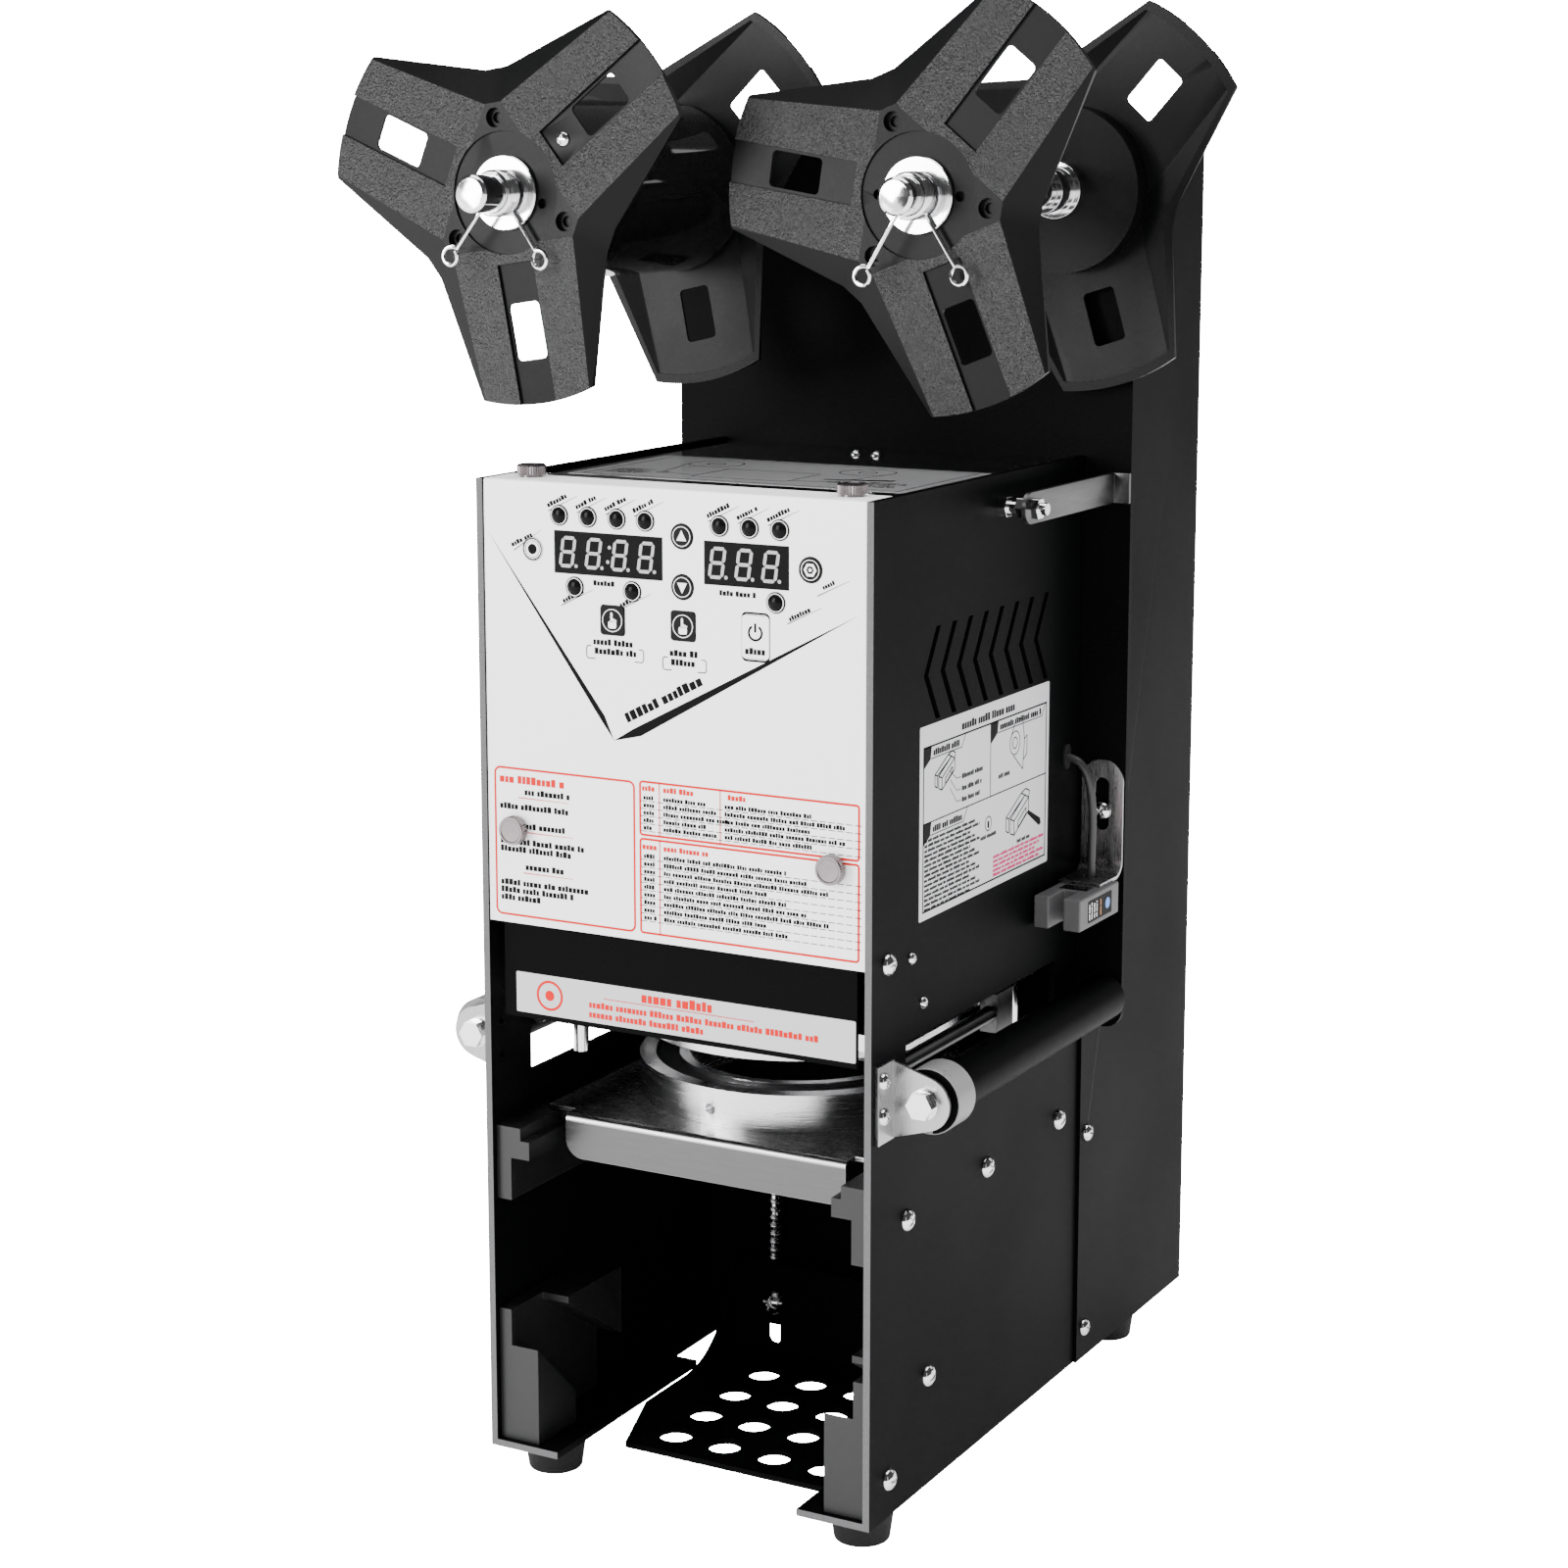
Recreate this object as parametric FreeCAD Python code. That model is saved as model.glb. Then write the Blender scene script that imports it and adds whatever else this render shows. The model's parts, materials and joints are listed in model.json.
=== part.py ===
import FreeCAD, Part
import math
import os

# Cup sealing machine. While it is modelled, X runs to the right seen from the front, Y runs
# towards the back, Z runs up, the floor is Z 0 and the side panels' front edges are at Y 0.
# At the end everything is moved sideways, so that the origin is the middle of the footprint.

Vec = FreeCAD.Vector

# ---------------------------------------------------------------- driving dimensions, mm
body_width = 180.0        # over both side panels
body_depth = 199.0        # front edges to the front of the back plate
body_height = 427.0       # floor to the top edge of the side panels
plate = 3.0               # side panels and back plate
sheet = 1.5               # covers and small brackets
foot_height = 15.0
foot_top_r = 13.5
foot_base_r = 11.5
column_margin = 1.5       # the column is this much wider than the body on each side
column_depth = 127.0      # behind the back plate
column_rise = 129.0       # column above the side panels
wing_reach = 21.4         # how far the back plate's wings stand out beyond the side panels
wing_bottom = 175.0
gap = 0.3                 # between pieces that move past each other
play = 0.05               # radial clearance of a shaft in its bore
press_travel = 0.5        # every push button

panel_bottom = 244.5      # white control panel
door_bottom = 204.0
window_front = 30.0
window_back = 175.0
window_bottom = 172.0
window_top = 209.0

ring_y = 108.0            # middle of the cup ring
ring_r = 69.0
cup_bore_r = 47.5
ring_height = 16.0
tray_top = 158.0

crank_throw = 10.0        # eccentric that drives the heater head
head_bottom = 188.5

spool_inset = 6.0         # spool axes inside the side panels' outer faces
spool_drop = 16.0         # spool axes below the top of the column
spool_r = 85.0
core_r = 36.0
shaft_r = 7.5
takeup_face = 15.0        # front faces of the two front flanges
supply_face = 47.0
takeup_angle = 38.5       # degrees, first arm from +X towards +Z
supply_angle = 51.3
takeup_rear_angle = 42.7
supply_rear_angle = 47.6

roller_out = 15.0         # roller axes outside the side panels
roller_z = 190.0
roller_r = 10.0
roller_ring_r = 13.5

# ---------------------------------------------------------------- derived sizes
half = body_width / 2
inner = half - plate
floor_z = foot_height      # underside of the case
spine_back = body_depth + plate
wing_half = half + wing_reach
column_half = half + column_margin
column_back = spine_back + column_depth
column_top = body_height + column_rise
spool_x = half - spool_inset
spool_z = column_top - spool_drop
panel_face = 0.6
panel_back = panel_face + sheet
lip_bottom = body_height - sheet
ring_top = tray_top + ring_height
roller_x = half + roller_out

nodes = {}
EAST, NORTH, UP = Vec(1, 0, 0), Vec(0, 1, 0), Vec(0, 0, 1)


# ---------------------------------------------------------------- shape helpers
def box(x0, x1, y0, y1, z0, z1):
    return Part.makeBox(x1 - x0, y1 - y0, z1 - z0, Vec(x0, y0, z0))


def rod_x(r, x0, x1, y, z):
    return Part.makeCylinder(r, x1 - x0, Vec(x0, y, z), EAST)


def rod_y(r, y0, y1, x, z):
    return Part.makeCylinder(r, y1 - y0, Vec(x, y0, z), NORTH)


def rod_z(r, z0, z1, x, y):
    return Part.makeCylinder(r, z1 - z0, Vec(x, y, z0), UP)


def wire_through(corners):
    return Part.makePolygon(corners + [corners[0]])


def prism_x(outline, x0, x1):
    """An outline of (y, z) corners pushed from x0 to x1."""
    face = Part.Face(wire_through([Vec(x0, y, z) for y, z in outline]))
    return face.extrude(Vec(x1 - x0, 0, 0))


def prism_y(outline, y0, y1):
    """An outline of (x, z) corners pushed from y0 to y1."""
    face = Part.Face(wire_through([Vec(x, y0, z) for x, z in outline]))
    return face.extrude(Vec(0, y1 - y0, 0))


def prism_z(outline, z0, z1):
    """An outline of (x, y) corners pushed from z0 to z1."""
    face = Part.Face(wire_through([Vec(x, y, z0) for x, y in outline]))
    return face.extrude(Vec(0, 0, z1 - z0))


def hexagon(width, along, base, x, y_or_z):
    """A hexagon bar of the given width over flats, from base, along +X or +Y."""
    corner = width / math.sqrt(3.0)
    turns = [math.radians(60 * k) for k in range(6)]
    if along is EAST:
        points = [Vec(base[0], x + corner * math.cos(t), y_or_z + corner * math.sin(t)) for t in turns]
    else:
        points = [Vec(x + corner * math.cos(t), base[0], y_or_z + corner * math.sin(t)) for t in turns]
    return Part.Face(wire_through(points)).extrude(along * (base[1] - base[0]))


def fuse(first, *others):
    """Joins shapes into one solid, or a compound where they stay apart."""
    joined = first.fuse(list(others)).removeSplitter()
    return joined.Solids[0] if len(joined.Solids) == 1 else joined


def drilled(shape, tools):
    """Cuts away only the tools that reach the shape."""
    near = [tool for tool in tools if tool.BoundBox.intersect(shape.BoundBox)]
    return shape.cut(near) if near else shape


def mirrored(shape):
    return shape.mirror(Vec(0, 0, 0), EAST)


def both_sides(shape):
    return [shape, mirrored(shape)]


def group(shapes):
    return Part.makeCompound(list(shapes))


def round_edges(shape, direction, radius, where):
    """Rounds the straight edges along a direction whose middle passes the test."""
    picked = []
    for edge in shape.Edges:
        ends = edge.Vertexes
        if len(ends) == 2:
            run = ends[1].Point.sub(ends[0].Point)
            straight = abs(run.Length - edge.Length) < 1e-6
            if straight and abs(run.dot(direction)) > 0.999 * run.Length and where(edge.CenterOfMass):
                picked.append(edge)
    return shape.makeFillet(radius, picked)


def tangent_point(outside, centre, radius, side):
    """Where a line from an outside point touches a circle; side is 1 or -1."""
    dx, dz = outside[0] - centre[0], outside[1] - centre[1]
    turn = math.atan2(dz, dx) + side * math.acos(radius / math.hypot(dx, dz))
    return centre[0] + radius * math.cos(turn), centre[1] + radius * math.sin(turn)


def domed_screw(seat, outward, head_r, head_height, shank_r, shank):
    """A domed screw head on its seat, with its shank going inward."""
    dome_r = (head_r ** 2 + head_height ** 2) / (2 * head_height)
    ball = Part.makeSphere(dome_r, seat.add(outward * (head_height - dome_r)))
    slab = Part.makeCylinder(head_r, head_height, seat, outward)
    pin = Part.makeCylinder(shank_r, shank, seat.sub(outward * shank), outward)
    return fuse(ball.common(slab), pin)


# ---------------------------------------------------------------- side panels
# 3 mm folded steel, each with an inward foot flange, a film window and chevron louvres.
flange_width = 33.0
flange_notch = 16.0       # narrower behind the cup platform's side gussets
notch_y = 116.0
louvre_count = 8
louvre_pitch = 14.9
louvre_first = 43.5
louvre_drop = body_height - 354.0
louvre_rise = 18.5
louvre_run = 11.0
louvre_width = 4.0
cable_hole = (183.5, 298.0)
cable_oval = (3.0, 2.5)   # end radius and half length between the end centres


def side_panel():
    outline = [(0, floor_z), (spine_back, floor_z), (spine_back, wing_bottom),
               (body_depth, wing_bottom), (body_depth, body_height), (0, body_height)]
    wall = prism_x(outline, inner, half)
    foot = fuse(box(half - flange_width, half, 0, notch_y, floor_z, floor_z + plate),
                box(half - flange_notch - plate, half, 0, body_depth, floor_z, floor_z + plate))
    panel = fuse(wall, foot)
    window = box(inner - 1, half + 1, window_front, window_back, window_bottom, window_top)
    window = round_edges(window, EAST, 2.0, lambda p: True)
    slots = []
    for k in range(louvre_count):
        y = louvre_first + k * louvre_pitch
        z = body_height - louvre_drop
        chevron = [(y, z), (y + louvre_run, z + louvre_rise),
                   (y + louvre_run + louvre_width, z + louvre_rise), (y + louvre_width, z),
                   (y + louvre_run + louvre_width, z - louvre_rise), (y + louvre_run, z - louvre_rise)]
        slots.append(prism_x(chevron, inner - 1, half + 1))
    return panel.cut([window] + slots)


def oval_x(y, z, r, reach, x0, x1):
    """An upright oval bar along X."""
    return fuse(box(x0, x1, y - r, y + r, z - reach, z + reach),
                rod_x(r, x0, x1, y, z - reach), rod_x(r, x0, x1, y, z + reach))


right_panel = side_panel()
left_panel = mirrored(right_panel)
cable_hole_y, cable_hole_z = cable_hole
right_panel = right_panel.cut(oval_x(cable_hole_y, cable_hole_z, *cable_oval, inner - 1, half + 1))

# ---------------------------------------------------------------- back plate and column
# The plate is the spine: narrow between the panels, and wide above to carry both spools.
corner = 8.0
plate_outline = [(-inner, floor_z), (inner, floor_z), (inner, wing_bottom), (wing_half, wing_bottom),
                 (wing_half, column_top), (-wing_half, column_top), (-wing_half, wing_bottom),
                 (-inner, wing_bottom)]
back_plate = prism_y(plate_outline, body_depth, spine_back)
back_plate = round_edges(back_plate, NORTH, corner, lambda p: abs(p.x) > half and p.z < wing_bottom + 1)

column_outer = box(-column_half, column_half, spine_back, column_back, floor_z, column_top)
column_inner = box(-column_half + sheet, column_half - sheet, spine_back - 1, column_back - sheet,
                   floor_z - 1, column_top - sheet)
column_cover = column_outer.cut(column_inner)
column_cover = round_edges(column_cover, UP, 2.0, lambda p: p.y > column_back - 0.1)
vent_count = 9
vent_pitch = 12.0
vent_half = 34.0
vents = []
for k in range(vent_count):
    z = column_top - 90 - k * vent_pitch
    vents.append(box(-vent_half, vent_half, column_back - 5, column_back + 1, z, z + 4))
column_base = box(-column_half + sheet, column_half - sheet, spine_back, column_back - sheet,
                  floor_z, floor_z + 2)
inlet_z = 62.0
inlet_half, inlet_rise = 13.5, 10.0       # half width and half height of the inlet's body
inlet_cut = box(-inlet_half, inlet_half, column_back - 5, column_back + 1,
                inlet_z - inlet_rise, inlet_z + inlet_rise)
column_cover = column_cover.cut(vents + [inlet_cut])

# The mains inlet: a shrouded three-pin socket in the column's back.
inlet_rim = 2.0
inlet_wall = 1.5
inlet_front = column_back - 22
socket_floor = column_back - 14
rim_half, rim_rise = inlet_half + inlet_rim, inlet_rise + inlet_rim
socket_half, socket_rise = inlet_half - inlet_wall, inlet_rise - 2.0
inlet = fuse(box(-inlet_half, inlet_half, inlet_front, column_back,
                 inlet_z - inlet_rise, inlet_z + inlet_rise),
             box(-rim_half, rim_half, column_back, column_back + 2.5,
                 inlet_z - rim_rise, inlet_z + rim_rise))
inlet = inlet.cut(box(-socket_half, socket_half, socket_floor, column_back + 3,
                      inlet_z - socket_rise, inlet_z + socket_rise))
pin_places = ((-7, -0.5), (0, 3.5), (7, -0.5))
inlet_pins = [box(x - 1, x + 1, socket_floor, column_back - 1, inlet_z + z - 3, inlet_z + z + 3)
              for x, z in pin_places]
nodes["power_inlet"] = fuse(inlet, *inlet_pins)

# ---------------------------------------------------------------- rubber feet
foot_x = half - 16.0
front_foot_y = 25.0
rear_foot_y = column_back - 51.0
nodes["rubber_feet"] = group(
    Part.makeCone(foot_base_r, foot_top_r, foot_height, Vec(x, y, 0), UP)
    for x in (foot_x, -foot_x) for y in (front_foot_y, rear_foot_y))

# ---------------------------------------------------------------- top cover and control panel
cover_top = lip_bottom
top_cover = box(-inner, inner, panel_back + 1, body_depth, cover_top - sheet, cover_top)
lip_reach = 22.0
panel_half = inner - gap
face_sheet = box(-panel_half, panel_half, panel_face, panel_back, panel_bottom, body_height)
top_lip = box(-panel_half, panel_half, panel_face, lip_reach, lip_bottom, body_height)
control_panel = fuse(face_sheet, top_lip)
control_panel = round_edges(control_panel, EAST, 1.2, lambda p: p.y < panel_face + 0.1 and p.z > lip_bottom)

# Everything on the panel is placed by its distance below the panel's top edge.
count_box = (-53.4, -3.0, 36.2, 19.0)     # left, right, bottom below the top edge, upper edge below it
heat_box = (15.6, 53.4, 36.2, 19.0)
led_places = [(-50.7, 13.0), (-37.3, 13.0), (-23.9, 13.0), (-10.8, 13.0), (22.7, 13.0),
              (36.0, 13.0), (49.3, 13.0), (-43.7, 41.3), (-17.0, 41.3), (47.6, 41.2)]
led_r = 3.5
round_buttons = {"count_reset_button": (-63.4, 27.3, 4.6), "up_button": (5.8, 18.1, 4.9),
                 "down_button": (6.0, 38.0, 4.9), "set_button": (62.7, 27.5, 4.9)}
square_buttons = {"mode_button": (-26.2, 53.5, 11.0, 11.6), "reseal_button": (6.2, 53.4, 11.0, 11.6),
                  "power_button": (38.7, 55.3, 12.0, 17.0)}
board_front = 9.0
board_sheet = 1.6
button_front = panel_face - 0.4
stem_end = board_front - 3.5
switch_top = stem_end + press_travel + 0.1


def display(x0, x1, low, high):
    return box(x0, x1, panel_face + 0.3, board_front, body_height - low, body_height - high)


displays = [display(*count_box), display(*heat_box)]
leds = [rod_y(led_r, panel_face - 0.3, board_front, x, body_height - drop) for x, drop in led_places]
panel_cuts = [shape.copy() for shape in displays + leds]
panel_cuts += [box(*count_box[:2], 0, panel_back + 1, body_height - count_box[2], body_height - count_box[3]),
               box(*heat_box[:2], 0, panel_back + 1, body_height - heat_box[2], body_height - heat_box[3])]
switches = []
for name, (x, drop, r) in round_buttons.items():
    z = body_height - drop
    cap = fuse(rod_y(r, button_front, panel_back + 1.5, x, z), rod_y(2.0, panel_back + 1.5, stem_end, x, z))
    nodes[name] = cap
    panel_cuts.append(rod_y(r + gap, 0, panel_back + 1, x, z))
    switches.append(rod_y(1.8, switch_top, board_front, x, z))
for name, (x, drop, wide, tall) in square_buttons.items():
    z = body_height - drop
    cap = box(x - wide / 2, x + wide / 2, button_front, panel_back + 1.5, z - tall / 2, z + tall / 2)
    cap = round_edges(cap, NORTH, 1.5, lambda p: True)
    nodes[name] = fuse(cap, rod_y(2.0, panel_back + 1.5, stem_end, x, z))
    reach_x, reach_z = wide / 2 + gap, tall / 2 + gap
    opening = box(x - reach_x, x + reach_x, 0, panel_back + 1, z - reach_z, z + reach_z)
    panel_cuts.append(round_edges(opening, NORTH, 1.5, lambda p: True))
    switches.append(rod_y(1.8, switch_top, board_front, x, z))
control_panel = control_panel.cut(panel_cuts)

board_half = inner - 9
board_low, board_high = body_height - 72, body_height - 10
board = box(-board_half, board_half, board_front, board_front + board_sheet, board_low, board_high)
standoffs = [rod_y(2.5, panel_back, board_front, x, z)
             for x in (-board_half + 4, board_half - 4) for z in (board_low + 4, board_high - 4)]
nodes["control_board"] = group([fuse(board, *switches)] + standoffs)
nodes["panel_displays"] = group(displays + leds)

# Knurled thumb screws: two into the top cover and two into brackets inside the panels.
thumb_x = inner - 14
thumb_z = 284.0
thumb_y = 15.0
thumb_r = 6.0


def thumb_screw(seat, outward):
    head = Part.makeCylinder(thumb_r, 4.2, seat.add(outward * 0.8), outward)
    collar = Part.makeCylinder(4.5, 0.8, seat, outward)
    shank = Part.makeCylinder(2.0, 6.0, seat.sub(outward * 6.0), outward)
    return fuse(head, collar, shank)


thumb_screws = [thumb_screw(Vec(x, thumb_y, body_height), UP) for x in (-thumb_x, thumb_x)]
thumb_screws += [thumb_screw(Vec(x, panel_face, thumb_z), NORTH * -1) for x in (-thumb_x, thumb_x)]
nodes["panel_thumb_screws"] = group(thumb_screws)
panel_bracket = fuse(box(inner - 22, inner, panel_back, panel_back + sheet, thumb_z - 6, thumb_z + 6),
                     box(inner - sheet, inner, panel_back, panel_back + 14, thumb_z - 6, thumb_z + 6))
panel_brackets = both_sides(panel_bracket.cut(thumb_screws[3]))
nodes["control_panel"] = control_panel.cut(thumb_screws)
top_cover = top_cover.cut(thumb_screws)

# ---------------------------------------------------------------- safety door
# A black plate that hangs from a pin behind the control panel and tips inward at a touch.
door_face = 3.5
door_half = inner - 5
hinge_y = 7.0
hinge_z = panel_bottom + 11.5
hinge_pin_r = 2.0
knuckle_r = 3.6
door = fuse(box(-door_half, door_half, door_face, door_face + sheet, door_bottom, hinge_z),
            rod_x(knuckle_r, -door_half, door_half, hinge_y, hinge_z))
nodes["safety_door"] = door.cut(rod_x(hinge_pin_r + play, -inner, inner, hinge_y, hinge_z))
nodes["door_hinge_pin"] = rod_x(hinge_pin_r, -inner, inner, hinge_y, hinge_z)

# ---------------------------------------------------------------- tray rails
# Moulded rails with a step: the tray rides on the top and its runners ride in the step.
rail_front = 3.0
rail_back = body_depth - 2
rail_top = tray_top - 2 - gap
rail_step = rail_top - 5.4
rail_under = rail_top - 13.3
rail_foot = rail_top - 31.7
rail_web = inner - 7.0
rail_edge = inner - 16.0
rail_ledge = inner - 11.7
rail_outline = [(inner, rail_foot), (rail_web, rail_foot), (rail_web, rail_under),
                (rail_edge, rail_under), (rail_edge, rail_step), (rail_ledge, rail_step),
                (rail_ledge, rail_top), (inner, rail_top)]
rail = prism_y(rail_outline, rail_front, rail_back)

# ---------------------------------------------------------------- tray, cup ring and gasket
tray_half = inner - 7.0
lip_half = half - 23.5
lip_y = ring_y - 84.0
lip_low = tray_top - 19.0
tray_rear = body_depth - 2
bend = 3.0
tray_wide = box(-tray_half, tray_half, lip_y + 8, tray_rear, tray_top - 2, tray_top)
tray_nose = box(-lip_half, lip_half, lip_y, lip_y + 10, tray_top - 2, tray_top)
tray_lip = box(-lip_half, lip_half, lip_y, lip_y + 2, lip_low, tray_top)
tray = fuse(tray_wide, tray_nose, tray_lip)
tray = round_edges(tray, EAST, bend, lambda p: p.y < lip_y + 0.1 and p.z > tray_top - 0.1)
tray = round_edges(tray, NORTH, 8.0, lambda p: p.z < lip_low + 0.1)
nodes["tray_plate"] = tray.cut(rod_z(cup_bore_r + 1.5, tray_top - 5, tray_top + 1, 0, ring_y))

groove_in, groove_out = cup_bore_r + 4.5, ring_r - 7
groove_floor = ring_top - 6
ring = rod_z(ring_r, tray_top, ring_top, 0, ring_y)
groove = rod_z(groove_out, groove_floor, ring_top + 1, 0, ring_y).cut(
    rod_z(groove_in, groove_floor - 1, ring_top + 2, 0, ring_y))
set_hole = Part.makeCylinder(2.3, 6.0, Vec(-5, ring_y - ring_r - 1, tray_top + 7), NORTH)
nodes["cup_ring"] = ring.cut([rod_z(cup_bore_r, tray_top - 1, ring_top + 1, 0, ring_y), groove, set_hole])
nodes["ring_gasket"] = rod_z(groove_out, groove_floor, groove_floor + 3.5, 0, ring_y).cut(
    rod_z(groove_in, groove_floor - 1, ring_top, 0, ring_y))
runner = box(rail_edge + gap, rail_ledge - gap, lip_y + 10, tray_rear - 2, rail_step + gap, tray_top - 2)
nodes["tray_runners"] = group(both_sides(runner))

# ---------------------------------------------------------------- lower cup guides
# One moulding on each side: a strip on the panel, a front block and a wedge for the cup's rim.
guide_high = 75.6
guide_in = inner - 19.0
guide_web = inner - 6.0
strip = box(guide_web, inner, rail_front, 70, floor_z + plate, guide_high)
front_block = prism_x([(rail_front, floor_z + plate), (32, floor_z + plate), (32, 32), (rail_front, 60)],
                      guide_in, guide_web)
wedge = prism_x([(27, guide_high - 3), (70, guide_high - 31), (70, guide_high), (27, guide_high)],
                guide_in, guide_web)
lower_guide = fuse(strip, front_block, wedge)

# ---------------------------------------------------------------- inner rear wall and lift rods
wall_front = body_depth - 17.0
wall_high = 112.0
wall_low = floor_z + plate
shelf_front = wall_front - 12.0
rod_y_place = wall_front - 6.0
rod_x_place = 50.0
rod_r = 4.75
slot_bolt_x, slot_bolt_z = 46.0, 30.6
spacer_r = 6.0
rod_seat = slot_bolt_z + spacer_r + gap
seats = [box(x - 8, x + 8, shelf_front + 1, wall_front, rod_seat, rod_seat + 3)
         for x in (-rod_x_place, rod_x_place)]
rear_wall = fuse(box(-inner, inner, wall_front, wall_front + 2, wall_low, wall_high),
                 box(-inner, inner, shelf_front, body_depth, wall_high, wall_high + 2),
                 box(-inner, inner, shelf_front + 1, wall_front, wall_low, wall_low + 2), *seats)
nodes["lift_rods"] = group(
    rod_z(rod_r, rod_seat + 3, wall_high, x, rod_y_place) for x in (-rod_x_place, rod_x_place))

# ---------------------------------------------------------------- cup platform
# Perforated folded plate under the bay. Its back hangs on two bolts in slots, so it can be raised.
platform_top = 6.5
platform_sheet = 2.5
platform_back = shelf_front + 0.5
platform_high = 48.5
platform_half = half - 23.0
nose_half, nose_y = 52.0, 46.0
shoulder_y = 88.0
hole_r = 7.5
bolt_r = 3.0
gusset_r = 40.0
floor_plate = prism_z([(-nose_half, nose_y), (nose_half, nose_y), (platform_half, shoulder_y),
                       (platform_half, platform_back), (-platform_half, platform_back),
                       (-platform_half, shoulder_y)],
                      platform_top - platform_sheet, platform_top)
upstand = box(-platform_half, platform_half, platform_back - platform_sheet, platform_back,
              platform_top - platform_sheet, platform_high)
gusset_y = platform_back - 8 - gusset_r
gusset_block = box(platform_half - platform_sheet, platform_half, gusset_y, platform_back,
                   platform_top - platform_sheet, platform_high)
gusset = gusset_block.cut(rod_x(gusset_r, 0, half, gusset_y, platform_top + gusset_r))
hole_columns = (-36.5, -12.2, 12.2, 36.5)
hole_rows = (63, 89, 115, 141.5)
holes = [rod_z(hole_r, 0, 20, x, y) for x in hole_columns for y in hole_rows]
slots = []
for x in (-slot_bolt_x, slot_bolt_x):
    top, low = slot_bolt_z, 13.0
    slots.append(rod_y(bolt_r + gap, platform_back - 5, platform_back + 5, x, top))
    slots.append(rod_y(bolt_r + gap, platform_back - 5, platform_back + 5, x, low))
    slots.append(box(x - bolt_r - gap, x + bolt_r + gap, platform_back - 5, platform_back + 5, low, top))
platform = fuse(floor_plate, upstand, *both_sides(gusset))
nodes["cup_platform"] = platform.cut(holes + slots)
bolts = []
for x in (-slot_bolt_x, slot_bolt_x):
    seat = Vec(x, platform_back - platform_sheet - gap, slot_bolt_z)
    bolt = domed_screw(seat, NORTH * -1, 6.2, 4.6, bolt_r, wall_front + 4 - seat.y)
    spacer = rod_y(spacer_r, platform_back + gap, wall_front, x, slot_bolt_z)
    bolts.append(fuse(bolt, spacer))
nodes["inner_rear_wall"] = rear_wall.cut(bolts)

# ---------------------------------------------------------------- heater head and its drive
deck_low = 232.0
deck_high = deck_low + plate
platen_low = head_bottom + 11.5
platen_high = platen_low + 7.0
post_r = 3.25
post_x = half - 18.0
post_front, post_rear = ring_y - 62.0, ring_y + 62.0
post_places = [(x, y) for x in (-post_x, post_x) for y in (post_front, post_rear)]
bushing_r = 6.5
crank_z = deck_high + 37.0
pin_r = 4.0
yoke_front = ring_y - 5.0
yoke_back = yoke_front + 6.0
crank_back = yoke_back + 9.0
crank_axle_r = 5.0
crank_disc_r = 16.0
motor_front = crank_back + 6.0
gear_stage_r, gear_stage = 30.0, 26.0     # the drive motor's gear stage: radius and length
motor_r, motor_length = 24.0, 36.0
motor_plate_half = 36.0
yoke_half = 22.0
yoke_window = 25.0
pin_rest_z = crank_z + crank_throw * math.sin(math.radians(45))
pin_rest_x = crank_throw * math.cos(math.radians(45))

deck = box(-inner, inner, 30, body_depth, deck_low, deck_high)
deck = deck.cut([box(-yoke_window, yoke_window, yoke_front - 3, yoke_back + 3, deck_low - 1, deck_high + 1)]
                + [rod_z(bushing_r, deck_low - 1, deck_high + 1, x, y) for x, y in post_places])
bracket_front = crank_back + 2
bracket = fuse(box(-motor_plate_half, motor_plate_half, bracket_front, crank_back + 5,
                   deck_high, crank_z + 32),
               box(-motor_plate_half, motor_plate_half, bracket_front, crank_back + 45,
                   deck_high, deck_high + 3))
bracket = bracket.cut(rod_y(crank_axle_r + 7, crank_back, motor_front, 0, crank_z))
nodes["head_deck"] = deck
nodes["inner_brackets"] = group(panel_brackets + [bracket])
bushings = []
for x, y in post_places:
    bush = fuse(rod_z(bushing_r, deck_low - 5, deck_high + 8, x, y),
                rod_z(bushing_r + 2, deck_high, deck_high + 2, x, y))
    bushings.append(bush.cut(rod_z(post_r + play, deck_low - 6, deck_high + 9, x, y)))

head_plate = box(-inner + 9, inner - 9, post_front - 8, post_rear + 8, platen_low, platen_high)
nodes["guide_posts"] = group(
    rod_z(post_r, head_bottom - 9.5, deck_high + 30, x, y) for x, y in post_places)
head_plate = head_plate.cut([rod_z(post_r, 0, 300, x, y) for x, y in post_places])
yoke = box(-yoke_half, yoke_half, yoke_front, yoke_back, platen_high, pin_rest_z + 16)
slot_reach = crank_throw + pin_r + 1.5
yoke_slot = box(-slot_reach, slot_reach, yoke_front - 1, yoke_back + 1,
                pin_rest_z - pin_r - 0.5, pin_rest_z + pin_r + 0.5)
yoke_foot = box(-30, 30, yoke_front - 12, yoke_back + 12, platen_high, platen_high + 3)
nodes["head_plate"] = group([head_plate, fuse(yoke, yoke_foot).cut(yoke_slot)])

disc = rod_z(ring_r, head_bottom, platen_low, 0, ring_y)
heater_r = cup_bore_r + 1.0
heater_top = head_bottom + 7
cutter_out, cutter_in = heater_r + 7, heater_r + 5.5
cutter = rod_z(cutter_out, head_bottom - 1, head_bottom + 9, 0, ring_y).cut(
    rod_z(cutter_in, head_bottom - 2, head_bottom + 10, 0, ring_y))
disc = disc.cut([rod_z(heater_r, head_bottom - 1, heater_top, 0, ring_y), cutter])
nodes["heater_plate"] = rod_z(heater_r, head_bottom + 0.8, heater_top, 0, ring_y)
nodes["seal_disc"] = group([disc, cutter])

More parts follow.
